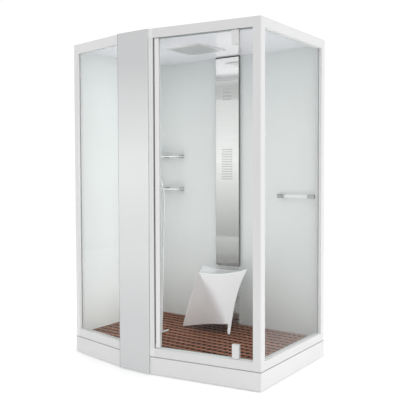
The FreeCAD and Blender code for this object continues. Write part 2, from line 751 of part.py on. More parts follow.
def screw_rods(radius):
    """Through screws that clamp each patch on the leaf."""
    rods = []
    for face, out in PIVOT_LEVELS.values():
        z = face + out * PATCH_SCREW_LEVEL
        for s in (PIVOT_S - PATCH_WIDTH / 4, PIVOT_S + PATCH_WIDTH / 4):
            low = door.point(s, DOOR_GLASS_T[0] - SLIP)
            high = door.point(s, DOOR_GLASS_T[1] + SLIP)
            rods.append(rod(radius, vec(low[0], low[1], z), vec(high[0], high[1], z)))
    return rods


def door_glass_blank():
    return band(door, (STILE_S + STILE_WIDTH - STILE_BITE, GLASS_END_S), DOOR_GLASS_T, DOOR_Z)


def make_door():
    save("door_glass", door_glass_blank().cut(screw_rods(PATCH_SCREW_RADIUS + SLIP)))
    t0 = DOOR_MID_T - STILE_DEPTH / 2
    z = (SILL_TOP + STILE_END_GAP, HEAD_UNDERSIDE - STILE_END_GAP)
    stile = band(door, (STILE_S, STILE_S + STILE_WIDTH), (t0, t0 + STILE_DEPTH), z)
    stile = softened(stile, POST_ARRIS / 2, along_axis(Z_AXIS))
    save("door_stile", stile.cut(door_glass_blank()))
    patches = [patch_at(level) for level in PIVOT_LEVELS]
    screws = screw_rods(PATCH_SCREW_RADIUS)
    save("pivot_patches", *[patches[i].multiFuse(screws[2 * i:2 * i + 2]) for i in range(2)])
    t0 = DOOR_MID_T - SEAL_DEPTH / 2
    lead = band(door, (LEAD_SEAL_S, STILE_S), (t0, t0 + SEAL_DEPTH), z)
    t = (DOOR_MID_T - SWEEP_THICKNESS / 2, DOOR_MID_T + SWEEP_THICKNESS / 2)
    z = (SILL_TOP + SWEEP_GAP, DOOR_Z[0])
    lip_t = (SWEEP_LIP_SETBACK, t[0])
    lip_z = (z[0], z[0] + SWEEP_LIP_HEIGHT)
    spans = ((STILE_S + STILE_WIDTH, PATCH_S[0] - SLIP), (PATCH_S[1] + SLIP, GLASS_END_S))
    sweeps = [fused([band(door, s, t, z), band(door, s, lip_t, lip_z)]) for s in spans]
    save("door_seals", lead, *sweeps)


# ================================================================ walls and roof
def make_walls():
    z = (RIM_TOP, HEIGHT)
    y = (WALL_FACE_Y, WALL_FACE_Y + WALL_THICKNESS)
    save("back_panel_left", box((WALL_FACE_X - WALL_THICKNESS, PANEL_X), y, z))
    save("back_panel_right", box((PANEL_X, HALF_WIDTH - FRAME_DEPTH), y, z))
    span = (WALL_FACE, left.length - LEFT_POST_SIDE)
    save("left_panel", band(left, span, (WALL_BACK, WALL_FACE), z))


def make_roof():
    depths = (WALL_FACE, WALL_FACE) + (FRAME_DEPTH,) * 4
    roof = prism(inset(depths), (CEILING, CEILING + ROOF_THICKNESS))
    hole_radius = FEED_RADIUS + SLIP
    top = CEILING + ROOF_THICKNESS
    holes = []
    for x, y in ((PANEL_X, feed_y()), (RAIN_X, RAIN_Y)):
        holes.append(rod(hole_radius, vec(x, y, CEILING), vec(x, y, top)))
    save("roof_panel", roof.cut(holes))


# ================================================================ technical column
LINER_BACK_INNER_Y = COLUMN_BACK_Y - LINER_WALL
POST_BACK_Y = COLUMN_FRONT_Y + FRAME_DEPTH
TANK_X = (COLUMN_LEFT_X + TANK_LEFT_GAP, COLUMN_RIGHT_X - TANK_RIGHT_GAP)
STEAM_PIPE_X = COLUMN_RIGHT_X - STEAM_PIPE_FROM_RIGHT
STEAM_PIPE_Y = COLUMN_BACK_Y - STEAM_PIPE_FROM_BACK
STEAM_PORT_X = COLUMN_RIGHT_X - STEAM_PORT_FROM_RIGHT
MIXER_X = COLUMN_RIGHT_X - MIXER_FROM_RIGHT


def make_column_cover():
    x = (COLUMN_LEFT_X + COVER_JOINT, COLUMN_RIGHT_X - COVER_JOINT)
    y = (COLUMN_FRONT_Y - COVER_DEPTH, COLUMN_FRONT_Y)
    z = (APRON_FLOOR_GAP, HEIGHT)
    cover = box(x, y, z)
    fronts = [upright_at((x[0], y[0])), upright_at((x[1], y[0]))]
    cover = softened(cover, COVER_ARRIS, lambda edge: any(test(edge) for test in fronts))
    inner_x = (x[0] + COVER_WALL, x[1] - COVER_WALL)
    inner_z = (z[0] + COVER_WALL, z[1] - COVER_WALL)
    save("column_cover", cover.cut(box(inner_x, (y[0] + COVER_WALL, y[1]), inner_z)))


def make_column_liner():
    z = (RIM_TOP, CEILING)
    x = (COLUMN_LEFT_X, COLUMN_RIGHT_X)
    outer = box(x, (POST_BACK_Y, COLUMN_BACK_Y), z)
    inner = box((x[0] + LINER_WALL, x[1] - LINER_WALL), (POST_BACK_Y, LINER_BACK_INNER_Y), z)
    liner = outer.cut(inner)
    arris = [upright_at((x[0], COLUMN_BACK_Y)), upright_at((x[1], COLUMN_BACK_Y))]
    liner = softened(liner, LINER_WALL / 2, lambda edge: any(test(edge) for test in arris))
    holes = [through_liner(NOZZLE_RADIUS + BORE_GAP, STEAM_PIPE_X, NOZZLE_Z)]
    for z_spindle in spindle_levels():
        holes.append(through_liner(MIXER_NECK_RADIUS + SLIP, MIXER_X, z_spindle))
    elbow = elbow_axis()
    holes.append(through_liner(ELBOW_RADIUS + SLIP, elbow.x, elbow.z))
    save("column_liner", liner.cut(holes))


def through_liner(radius, x, z):
    return rod(radius, vec(x, LINER_BACK_INNER_Y - OVERCUT, z), vec(x, COLUMN_BACK_Y + OVERCUT, z))


def make_steam_generator():
    y = (COLUMN_FRONT_Y + TANK_FRONT_GAP, LINER_BACK_INNER_Y - TANK_STANDOFF)
    tank = softened(box(TANK_X, y, TANK_Z), TANK_ARRIS, along_axis(Z_AXIS))
    wall = TANK_WALL
    inner_x = (TANK_X[0] + wall, TANK_X[1] - wall)
    inner = box(inner_x, (y[0] + wall, y[1] - wall), (TANK_Z[0] + wall, TANK_Z[1] - wall))
    inner = softened(inner, TANK_ARRIS - wall, along_axis(Z_AXIS))
    element_x = (TANK_X[0] + TANK_X[1]) / 2
    mid_y = (y[0] + y[1]) / 2
    port_foot = vec(element_x, mid_y, TANK_Z[0])
    port = rod(ELEMENT_PORT_RADIUS, port_foot, port_foot.add(vec(0, 0, wall)))
    outlet = rod(STEAM_PIPE_RADIUS + BORE_GAP, vec(STEAM_PORT_X, STEAM_PIPE_Y, TANK_Z[1] - wall),
                 vec(STEAM_PORT_X, STEAM_PIPE_Y, TANK_Z[1]))
    lugs = []
    for z in (TANK_Z[0] + LUG_HEIGHT, TANK_Z[1] - 2 * LUG_HEIGHT):
        lug_x = (TANK_X[0] + TANK_ARRIS, TANK_X[1] - TANK_ARRIS)
        lugs.append(box(lug_x, (y[1], LINER_BACK_INNER_Y), (z, z + LUG_HEIGHT)))
    save("steam_tank", tank.multiFuse(lugs).cut([inner, port, outlet]))
    make_element(element_x, mid_y)


def make_element(x, y):
    """Bent rod element on a round flange under the tank."""
    low = TANK_Z[0]
    flange = rod(ELEMENT_FLANGE_RADIUS, vec(x, y, low - ELEMENT_FLANGE), vec(x, y, low))
    half = ELEMENT_SPREAD / 2
    top = low + ELEMENT_HEIGHT
    legs = [rod(ELEMENT_RADIUS, vec(x + d, y, low - OVERCUT), vec(x + d, y, top)) for d in (-half, half)]
    bend = Part.makeTorus(half, ELEMENT_RADIUS, vec(x, y, top), Y_AXIS, 0, 360, 360)
    bend = bend.common(box((x - 2 * half, x + 2 * half), (y - half, y + half), (top, top + 2 * half)))
    save("heating_element", flange.multiFuse(legs + [bend]))


def bent_pipe(radius, points):
    """Round pipe through points, with ball corners."""
    runs = [rod(radius, points[i], points[i + 1]) for i in range(len(points) - 1)]
    balls = [Part.makeSphere(radius, p) for p in points[1:-1]]
    return runs[0].multiFuse(runs[1:] + balls)


def make_steam_line():
    points = [
        vec(STEAM_PORT_X, STEAM_PIPE_Y, TANK_Z[1] - TANK_WALL),
        vec(STEAM_PORT_X, STEAM_PIPE_Y, STEAM_PIPE_TOP),
        vec(STEAM_PIPE_X, STEAM_PIPE_Y, STEAM_PIPE_TOP),
        vec(STEAM_PIPE_X, STEAM_PIPE_Y, NOZZLE_Z),
        vec(STEAM_PIPE_X, LINER_BACK_INNER_Y - NOZZLE_FLANGE, NOZZLE_Z),
    ]
    save("steam_pipe", bent_pipe(STEAM_PIPE_RADIUS, points))
    start = points[-1]
    tip = vec(STEAM_PIPE_X, COLUMN_BACK_Y + NOZZLE_LENGTH, NOZZLE_Z)
    spout = rod(NOZZLE_RADIUS, start, tip)
    face = vec(STEAM_PIPE_X, COLUMN_BACK_Y, NOZZLE_Z)
    flange = rod(NOZZLE_FLANGE_RADIUS, face, face.add(vec(0, NOZZLE_FLANGE, 0)))
    mouth = rod(NOZZLE_MOUTH_RADIUS, start.add(vec(0, NOZZLE_FLANGE, 0)), tip.add(vec(0, OVERCUT, 0)))
    save("steam_nozzle", spout.fuse(flange).cut(mouth))


def make_control_box():
    width, depth, height = CONTROL_BOX
    middle = (COLUMN_LEFT_X + COLUMN_RIGHT_X) / 2
    x = (middle - width / 2, middle + width / 2)
    y = (LINER_BACK_INNER_Y - depth, LINER_BACK_INNER_Y)
    body = softened(box(x, y, (CONTROL_Z, CONTROL_Z + height)), CONTROL_LID, along_axis(Y_AXIS))
    lid_x = (x[0] + CONTROL_LID, x[1] - CONTROL_LID)
    lid_z = (CONTROL_Z + CONTROL_LID, CONTROL_Z + height - CONTROL_LID)
    save("control_box", body.fuse(box(lid_x, (y[0] - CONTROL_LID, y[0]), lid_z)))


# ================================================================ mixer
def spindle_levels():
    return (MIXER_Z - SPINDLE_SPREAD / 2, MIXER_Z + SPINDLE_SPREAD / 2)


def make_mixer():
    width, depth, height = MIXER_BLOCK
    block_y = (LINER_BACK_INNER_Y - depth, LINER_BACK_INNER_Y)
    z = (MIXER_Z - height / 2, MIXER_Z + height / 2)
    block = box((MIXER_X - width / 2, MIXER_X + width / 2), block_y, z)
    plate_x = (MIXER_X - MIXER_PLATE[0] / 2, MIXER_X + MIXER_PLATE[0] / 2)
    plate_z = (MIXER_Z - MIXER_PLATE[2] / 2, MIXER_Z + MIXER_PLATE[2] / 2)
    plate = box(plate_x, (COLUMN_BACK_Y, COLUMN_BACK_Y + MIXER_PLATE[1]), plate_z)
    pieces = [softened(plate, MIXER_PLATE_ARRIS, along_axis(Y_AXIS))]
    plate_face = COLUMN_BACK_Y + MIXER_PLATE[1]
    for level in spindle_levels():
        inner = vec(MIXER_X, LINER_BACK_INNER_Y - depth / 2, level)
        pieces.append(rod(MIXER_NECK_RADIUS, inner, vec(MIXER_X, plate_face, level)))
        pieces.append(rod(SPINDLE_RADIUS, inner, vec(MIXER_X, plate_face + SPINDLE_LENGTH, level)))
    for x in (MIXER_X - INLET_SPREAD / 2, MIXER_X + INLET_SPREAD / 2):
        root = vec(x, (block_y[0] + block_y[1]) / 2, z[0] + OVERCUT)
        pieces.append(rod(INLET_RADIUS, root, root.sub(vec(0, 0, INLET_LENGTH + OVERCUT))))
    save("mixer_body", block.multiFuse(pieces))
    for name, level in zip(("flow_knob", "temperature_knob"), spindle_levels()):
        save(name, knob(level, plate_face + SEAT_GAP))


def knob(level, face):
    """Round knob with a short lever, on its spindle."""
    start = vec(MIXER_X, face, level)
    grip = rod(KNOB_RADIUS, start, start.add(vec(0, KNOB_LENGTH, 0)))
    middle = face + KNOB_LENGTH / 2
    grip = softened(grip, KNOB_ARRIS, lambda edge: edge.Closed and edge.CenterOfMass.y > middle)
    lever_x, lever_y, lever_z = KNOB_LEVER
    x = (MIXER_X - lever_x / 2, MIXER_X + lever_x / 2)
    y = (face + KNOB_LENGTH - lever_y, face + KNOB_LENGTH)
    lever = softened(box(x, y, (level, level + lever_z)), KNOB_ARRIS, along_axis(Y_AXIS))
    bore_start = start.sub(vec(0, OVERCUT, 0))
    bore = rod(SPINDLE_RADIUS + BORE_GAP, bore_start, start.add(vec(0, SPINDLE_LENGTH, 0)))
    return grip.fuse(lever).cut(bore)


# ================================================================ hand shower
def hose_points():
    return [vec(COLUMN_RIGHT_X + x, COLUMN_BACK_Y + y, z) for x, y, z in HOSE_ROUTE]


def elbow_axis():
    """Point where the elbow's horizontal bore meets the hose's last run."""
    end = hose_points()[-1]
    return vec(end.x, end.y, end.z + HOSE_NUT_LENGTH + ELBOW_RISE)


def make_hose():
    """Tube of straight runs joined by tangent arcs."""
    points = hose_points()
    edges = []
    radii = []
    last = points[0]
    for before, corner, after in zip(points[:-2], points[1:-1], points[2:]):
        back_run = before.sub(corner)
        next_run = after.sub(corner)
        half_turn = (math.pi - back_run.getAngle(next_run)) / 2
        cut = 0.45 * min(back_run.Length, next_run.Length)
        start = corner.add(back_run.normalize().multiply(cut))
        end = corner.add(next_run.normalize().multiply(cut))
        radius = cut / math.tan(half_turn)
        inwards = start.add(end).multiply(0.5).sub(corner)
        centre = corner.add(inwards.normalize().multiply(math.hypot(radius, cut)))
        middle = centre.add(corner.sub(centre).normalize().multiply(radius))
        edges.append(Part.LineSegment(last, start).toShape())
        edges.append(Part.Arc(start, middle, end).toShape())
        radii.append(radius)
        last = end
    edges.append(Part.LineSegment(last, points[-1]).toShape())
    path = Part.Wire(edges)
    circle = Part.Circle(points[0], points[1].sub(points[0]), HOSE_RADIUS).toShape()
    hose = path.makePipeShell([Part.Wire(circle)], True, False)
    expected = math.pi * HOSE_RADIUS ** 2 * path.Length
    print("hose length", round(path.Length, 1), "volume ratio", round(hose.Volume / expected, 5))
    print("hose radii", [round(r) for r in radii])
    save("shower_hose", hose)


def handset_frame():
    """Lower end of the handset and the direction of its handle, in line with the hose's first run."""
    points = hose_points()
    return points[0], points[0].sub(points[1]).normalize()


def make_handset():
    low, up = handset_frame()

    def along(distance):
        return low.add(vec(up).multiply(distance))

    nut = Part.makeCone(HOSE_FERRULE_RADIUS, HOSE_NUT_RADIUS, HOSE_NUT_LENGTH, low, up)
    handle = rod(HANDSET_RADIUS, along(HOSE_NUT_LENGTH), along(HANDSET_LENGTH))
    spray_start = HANDSET_LENGTH - SPRAY_LENGTH
    taper = Part.makeCone(HANDSET_RADIUS, SPRAY_RADIUS, HANDSET_NECK, along(spray_start - HANDSET_NECK), up)
    spray = rod(SPRAY_RADIUS, along(spray_start), along(HANDSET_LENGTH))

    def at_tip(edge):
        return edge.Closed and edge.CenterOfMass.sub(low).dot(up) > HANDSET_LENGTH - SPRAY_ARRIS

    spray = softened(spray, SPRAY_ARRIS, at_tip)
    save("handset", nut.multiFuse([handle, taper, spray]))


def make_handset_holder():
    low, up = handset_frame()
    ring_top = HANDSET_LENGTH - SPRAY_LENGTH - HANDSET_NECK - SEAT_GAP
    middle = low.add(vec(up).multiply(ring_top - HOLDER_HEIGHT))
    top = low.add(vec(up).multiply(ring_top))
    outer = HANDSET_RADIUS + SLIP + HOLDER_WALL
    centre = middle.add(top).multiply(0.5)
    wall_point = vec(centre.x, COLUMN_BACK_Y, centre.z)
    arm_end = vec(centre.x, centre.y - HANDSET_RADIUS, centre.z)
    ring = rod(outer, middle, top)
    arm = rod(HOLDER_ARM_RADIUS, wall_point, arm_end)
    flange = rod(HOLDER_FLANGE_RADIUS, wall_point, wall_point.add(vec(0, HOLDER_FLANGE, 0)))
    handle = rod(HANDSET_RADIUS + BORE_GAP, low, low.add(vec(up).multiply(HANDSET_LENGTH)))
    save("handset_holder", ring.multiFuse([arm, flange]).cut(handle))


def make_elbow():
    axis = elbow_axis()
    wall_point = vec(axis.x, COLUMN_BACK_Y, axis.z)
    flange = rod(ELBOW_FLANGE_RADIUS, wall_point, wall_point.add(vec(0, ELBOW_FLANGE, 0)))
    inner = vec(axis.x, LINER_BACK_INNER_Y - INLET_LENGTH, axis.z)
    outlet = vec(axis.x, axis.y, axis.z - ELBOW_RISE)
    body = bent_pipe(ELBOW_RADIUS, [inner, axis, outlet])
    nut = Part.makeCone(HOSE_NUT_RADIUS, HOSE_FERRULE_RADIUS, HOSE_NUT_LENGTH, outlet, vec(0, 0, -1))
    save("hose_elbow", body.multiFuse([flange, nut]))


# ================================================================ steel shower panel
PANEL_FACE_Y = WALL_FACE_Y - PANEL_DEPTH
PANEL_SPAN = (PANEL_X - PANEL_WIDTH / 2, PANEL_X + PANEL_WIDTH / 2)


def feed_y():
    return PANEL_FACE_Y + PANEL_SHEET + (PANEL_DEPTH - PANEL_SHEET) / 2


def edged_sheet(z):
    """Front sheet, and the side, foot and head strips that stand it off the wall."""
    x = (PANEL_SPAN[0] + PANEL_SHEET, PANEL_SPAN[1] - PANEL_SHEET)
    y = (PANEL_FACE_Y + PANEL_SHEET, WALL_FACE_Y)
    front = box(PANEL_SPAN, (PANEL_FACE_Y, y[0]), z)
    sides = [box((PANEL_SPAN[0], x[0]), y, z), box((x[1], PANEL_SPAN[1]), y, z)]
    foot = box(x, y, (z[0], z[0] + PANEL_SHEET))
    head = box(x, y, (z[1] - PANEL_SHEET, z[1]))
    return [front] + sides + [foot, head]


def centred(count, pitch, middle):
    return [middle + (i - (count - 1) / 2) * pitch for i in range(count)]


def make_shower_panel():
    front, left_strip, right_strip, foot, head = edged_sheet((PANEL_SPLIT + PANEL_JOINT / 2, CEILING))
    width, height = JET_SLOT
    y = (PANEL_FACE_Y, PANEL_FACE_Y + PANEL_SHEET)
    slots = []
    for x in centred(JET_COLUMNS, JET_PITCH_X, PANEL_X):
        for z in centred(JET_ROWS, JET_PITCH_Z, JET_CENTRE_Z):
            slots.append(box((x - width / 2, x + width / 2), y, (z - height / 2, z + height / 2)))
    feed_foot = vec(PANEL_X, feed_y(), CEILING - PANEL_SHEET)
    head = head.cut(rod(FEED_RADIUS + SLIP, feed_foot, feed_foot.add(vec(0, 0, PANEL_SHEET))))
    save("shower_panel_upper", front.cut(slots), left_strip, right_strip, foot, head)
    lower = edged_sheet((DECK_TOP + PANEL_FOOT_GAP, PANEL_SPLIT - PANEL_JOINT / 2))
    save("shower_panel_lower", *lower)
    half_x = (JET_COLUMNS - 1) / 2 * JET_PITCH_X + width / 2 + JET_BLOCK_MARGIN
    half_z = (JET_ROWS - 1) / 2 * JET_PITCH_Z + height / 2 + JET_BLOCK_MARGIN
    block_x = (PANEL_X - half_x, PANEL_X + half_x)
    block_z = (JET_CENTRE_Z - half_z, JET_CENTRE_Z + half_z)
    save("jet_block", box(block_x, (y[1], y[1] + JET_BLOCK_DEPTH), block_z))
    keys = []
    key_y = (PANEL_FACE_Y - KEY_PROUD, PANEL_FACE_Y)
    for x in centred(KEY_COUNT, KEY_PITCH_X, PANEL_X):
        for z in centred(KEY_COUNT, KEY_PITCH_Z, KEY_CENTRE_Z):
            half = (KEY_SIZE[0] / 2, KEY_SIZE[1] / 2)
            keys.append(box((x - half[0], x + half[0]), key_y, (z - half[1], z + half[1])))
    save("touch_keys", *keys)
    return block_z[1]


# ================================================================ rain head
def make_rain_head(feed_start):
    half = RAIN_SIDE / 2
    low = CEILING - RAIN_THICKNESS
    head = box((RAIN_X - half, RAIN_X + half), (RAIN_Y - half, RAIN_Y + half), (low, CEILING))
    head = softened(head, RAIN_ARRIS, lambda edge: edge.BoundBox.ZMin < low + 1e-6)
    nozzles = []
    for x in centred(RAIN_NOZZLES, RAIN_NOZZLE_PITCH, RAIN_X):
        for y in centred(RAIN_NOZZLES, RAIN_NOZZLE_PITCH, RAIN_Y):
            nozzles.append(rod(RAIN_NOZZLE_RADIUS, vec(x, y, low), vec(x, y, low + RAIN_NOZZLE_DEPTH)))
    save("rain_head", head.cut(nozzles))
    run_z = CEILING + FEED_RISE
    points = [
        vec(PANEL_X, feed_y(), feed_start),
        vec(PANEL_X, feed_y(), run_z),
        vec(RAIN_X, RAIN_Y, run_z),
        vec(RAIN_X, RAIN_Y, CEILING),
    ]
    save("rain_feed_pipe", bent_pipe(FEED_RADIUS, points))


# ================================================================ shelves and towel bar
def make_shelves():
    x = (WALL_FACE_X + SHELF_LEFT_GAP, WALL_FACE_X + SHELF_LEFT_GAP + SHELF_LENGTH)
    y = (WALL_FACE_Y - SHELF_DEPTH, WALL_FACE_Y)
    panes = []
    clips = []
    for top in SHELF_LEVELS:
        z = (top - SHELF_THICKNESS, top)
        front = [upright_at((x[0], y[0])), upright_at((x[1], y[0]))]
        panes.append(softened(box(x, y, z), SHELF_ARRIS, lambda edge: any(test(edge) for test in front)))
        for distance in CLIP_FROM_END:
            clip_x = (x[0] + distance - CLIP_WIDTH / 2, x[0] + distance + CLIP_WIDTH / 2)
            clip_y = (WALL_FACE_Y - CLIP_LENGTH, WALL_FACE_Y)
            clip = box(clip_x, clip_y, (z[0] - CLIP_WALL, z[1] + CLIP_WALL))
            clips.append(softened(clip, CLIP_ARRIS, along_axis(X_AXIS)).cut(box(x, y, z)))
    save("shelf_panes", *panes)
    save("shelf_clips", *[piece for clip in clips for piece in clip.Solids])


TOWEL_X = HALF_WIDTH - TOWEL_FROM_RIGHT


def make_towel_bar():
    face = WALL_FACE_Y
    z = (TOWEL_Z - TOWEL_HEIGHT / 2, TOWEL_Z + TOWEL_HEIGHT / 2)
    ends = (TOWEL_X - TOWEL_LENGTH / 2, TOWEL_X + TOWEL_LENGTH / 2)
    spans = ((ends[0], ends[0] + TOWEL_BLOCK_LENGTH), (ends[1] - TOWEL_BLOCK_LENGTH, ends[1]))
    front = face - TOWEL_BLOCK_DEPTH
    blocks = [softened(box(x, (front, face), z), TOWEL_ARRIS, along_axis(Y_AXIS)) for x in spans]
    save("towel_bar_blocks", *blocks)
    near = front + TOWEL_BAR_SETBACK
    far = near + TOWEL_BAR_THICKNESS
    low = TOWEL_Z - TOWEL_BAR_HEIGHT / 2
    x = (spans[0][1], spans[1][0])
    corners = [vec(x[0], near, low), vec(x[1], near, low), vec(x[1], far, low), vec(x[0], far, low)]
    bow = vec(TOWEL_X, near - TOWEL_BAR_BOW, low)
    hollow = vec(TOWEL_X, far - TOWEL_BAR_BOW, low)
    edges = [
        Part.Arc(corners[0], bow, corners[1]).toShape(),
        Part.LineSegment(corners[1], corners[2]).toShape(),
        Part.Arc(corners[2], hollow, corners[3]).toShape(),
        Part.LineSegment(corners[3], corners[0]).toShape(),
    ]
    save("towel_bar", Part.Face(Part.Wire(edges)).extrude(vec(0, 0, TOWEL_BAR_HEIGHT)))


# ================================================================ stool
STOOL_Z = DECK_TOP + SEAT_GAP
STOOL_FEET = [(x, WALL_FACE_Y - y) for x, y in STOOL_FEET_FROM_WALL]
STOOL_SEAT = [(x, WALL_FACE_Y - y) for x, y in STOOL_SEAT_FROM_WALL]


def stool_centre():
    points = STOOL_FEET + STOOL_SEAT
    return (sum(p[0] for p in points) / len(points), sum(p[1] for p in points) / len(points))


def stool_ring(level, wall):
    """The six corners of a section, drawn in by the wall: from each foot to the seat corners beside it."""
    cx, cy = stool_centre()
    drawn_in = 4 * level * (1 - level)
    ring = []
    for i in range(3):
        soft = (STOOL_SEAT[i - 1], STOOL_SOFT_WAISTS[i])
        crisp = (STOOL_SEAT[i], STOOL_CRISP_WAISTS[i])
        for seat, waist in (soft, crisp):
            x = (1 - level) * STOOL_FEET[i][0] + level * seat[0] - cx
            y = (1 - level) * STOOL_FEET[i][1] + level * seat[1] - cy
            reach = math.hypot(x, y)
            scale = (1 - waist * drawn_in) * (reach - 2 * wall) / reach
            ring.append((cx + x * scale, cy + y * scale))
    return ring


def stool_section(level, soft_edge, wall):
    """Section of the twisted body at a level from 0 at the feet to 1 at the seat."""
    z = STOOL_Z + STOOL_HEIGHT * (level - STOOL_LEVELS[0]) / (STOOL_LEVELS[-1] - STOOL_LEVELS[0])
    ring = [vec(x, y, z) for x, y in stool_ring(level, wall)]
    curves = []
    for i, corner in enumerate(ring):
        share = STOOL_CRISP_EDGE if i % 2 else soft_edge
        start = corner.add(ring[i - 1].sub(corner).multiply(share))
        end = corner.add(ring[(i + 1) % 6].sub(corner).multiply(share))
        curve = Part.BezierCurve()
        curve.setPoles([start, corner, end])
        curves.append(curve)
    edges = []
    for i, curve in enumerate(curves):
        edges.append(curve.toShape())
        edges.append(Part.LineSegment(curve.EndPoint, curves[(i + 1) % 6].StartPoint).toShape())
    return Part.Wire(edges)


def stool_loft(wall):
    sections = [stool_section(t, k, wall) for t, k in zip(STOOL_LEVELS, STOOL_SOFT_EDGES)]
    return Part.makeLoft(sections, True, False)


def stool_arch(i):
    """Cutter for the arch under one face: it rises slowly from one toe and drops beside the next leg."""
    start = STOOL_FEET[i]
    end = STOOL_FEET[(i + 1) % 3]
    run = vec(end[0] - start[0], end[1] - start[1], 0)
    outward = run.cross(Z_AXIS).normalize()
    origin = vec(start[0], start[1], STOOL_Z).sub(vec(outward).multiply(STOOL_ARCH_INWARD))

    def at(share, z):
        return origin.add(vec(run).multiply(share)).add(vec(0, 0, z))

    poles = [at(share, rise * STOOL_ARCH_HEIGHT) for share, rise in STOOL_ARCH_CURVE]
    curve = Part.BezierCurve()
    curve.setPoles(poles)
    toes = [at(STOOL_ARCH_CURVE[-1][0], -STOOL_ARCH_BELOW), at(STOOL_ARCH_CURVE[0][0], -STOOL_ARCH_BELOW)]
    edges = [
        curve.toShape(),
        Part.LineSegment(poles[-1], toes[0]).toShape(),
        Part.LineSegment(toes[0], toes[1]).toShape(),
        Part.LineSegment(toes[1], poles[0]).toShape(),
    ]
    reach = STOOL_ARCH_INWARD + STOOL_ARCH_OUTWARD
    return Part.Face(Part.Wire(edges)).extrude(vec(outward).multiply(reach))


def make_stool():
    cx, cy = stool_centre()
    top = STOOL_Z + STOOL_HEIGHT
    outer = stool_loft(0.0)
    inner = stool_loft(STOOL_WALL)
    seat_under = top - STOOL_DISH_DEPTH - STOOL_SEAT_WALL
    inner = inner.common(box((-WIDTH, WIDTH), (-WIDTH, WIDTH), (0, seat_under)))
    dish = Part.makeSphere(STOOL_DISH_RADIUS, vec(cx, cy, top + STOOL_DISH_RADIUS - STOOL_DISH_DEPTH))
    stool = outer.cut(inner).cut(dish)
    stool = stool.cut([stool_arch(i) for i in range(3)])
    save("stool", stool)


# ================================================================ build
def build():
    os.makedirs("parts", exist_ok=True)
    make_tray()
    make_tray_frame()
    make_feet()
    make_waste()
    make_aprons()
    make_deck()
    make_runners()
    make_posts()
    make_rails()
    make_panes()
    make_bushes()
    make_door()
    make_walls()
    make_roof()
    make_column_cover()
    make_column_liner()
    make_steam_generator()
    make_steam_line()
    make_control_box()
    make_mixer()
    make_hose()
    make_handset()
    make_handset_holder()
    make_elbow()
    feed_start = make_shower_panel()
    make_rain_head(feed_start)
    make_shelves()
    make_towel_bar()
    make_stool()
    print("pivot", [round(v, 3) for v in PIVOT])


build()
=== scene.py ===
import math

import bpy
from mathutils import Matrix, Vector


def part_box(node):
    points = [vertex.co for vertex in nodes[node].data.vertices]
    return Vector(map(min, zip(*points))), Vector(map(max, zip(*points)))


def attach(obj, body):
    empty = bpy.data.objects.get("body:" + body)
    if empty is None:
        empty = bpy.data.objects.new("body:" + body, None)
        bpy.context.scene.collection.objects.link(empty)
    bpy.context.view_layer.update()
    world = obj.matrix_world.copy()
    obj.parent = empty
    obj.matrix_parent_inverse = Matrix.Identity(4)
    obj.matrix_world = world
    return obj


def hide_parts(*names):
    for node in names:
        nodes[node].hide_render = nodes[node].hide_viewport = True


# Steam shower cabin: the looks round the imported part, in metres and in the part's own frame.

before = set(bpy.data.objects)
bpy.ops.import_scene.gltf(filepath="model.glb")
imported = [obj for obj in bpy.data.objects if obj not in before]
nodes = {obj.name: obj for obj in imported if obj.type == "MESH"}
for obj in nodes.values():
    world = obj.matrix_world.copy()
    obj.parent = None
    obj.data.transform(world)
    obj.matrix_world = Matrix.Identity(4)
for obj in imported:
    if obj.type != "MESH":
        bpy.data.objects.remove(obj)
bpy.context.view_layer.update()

# ================================================================ real sizes, in metres
DECK_FIRST_ROW = -0.395          # y of the first row of holes
DECK_PITCH_Y = 0.063             # from one row to the next
DECK_BLOCK = 0.085               # length of the blocks that have one tone each, two holes long
DECK_TOP = 0.140
DECK_WORN = 0.0008               # rounding of the deck's edges
DECK_SHADE_DEPTH = 4 * DECK_WORN  # depth at which the walls of the holes are fully dark

HOSE_RADIUS = 0.006
HOSE_SIDES = 14
HOSE_RIB_PITCH = 0.0046
HOSE_RIB_DEPTH = 0.0004
HOSE_RIB_SHAPE = (0, 0.5, 1, 0.5)    # share of the depth at each step along one rib
ROUNDING = 1e-9                  # what sums of short lengths may be off by
COLUMN_EDGE = (0.008, -0.390)    # x of the column's right edge and y of its rear
HOSE_ROUTE = (                   # x from that edge, y from that rear, height
    (-0.0320, 0.062, 1.2100),
    (-0.0224, 0.062, 1.1837),
    (-0.0170, 0.062, 1.1490),
    (-0.0160, 0.062, 1.1000),
    (-0.0190, 0.062, 1.0040),
    (-0.0350, 0.061, 0.3450),
    (-0.0360, 0.061, 0.2750),
    (-0.0360, 0.061, 0.2330),
    (-0.0520, 0.061, 0.2053),
    (-0.0797, 0.061, 0.1893),
    (-0.1117, 0.061, 0.1893),
    (-0.1394, 0.060, 0.2053),
    (-0.1554, 0.059, 0.2330),
    (-0.1570, 0.057, 0.2800),
    (-0.1575, 0.051, 0.3450),
    (-0.1570, 0.041, 0.4200),
    (-0.1560, 0.032, 0.4900),
    (-0.1560, 0.028, 0.5260),
    (-0.1560, 0.028, 0.5520),
)

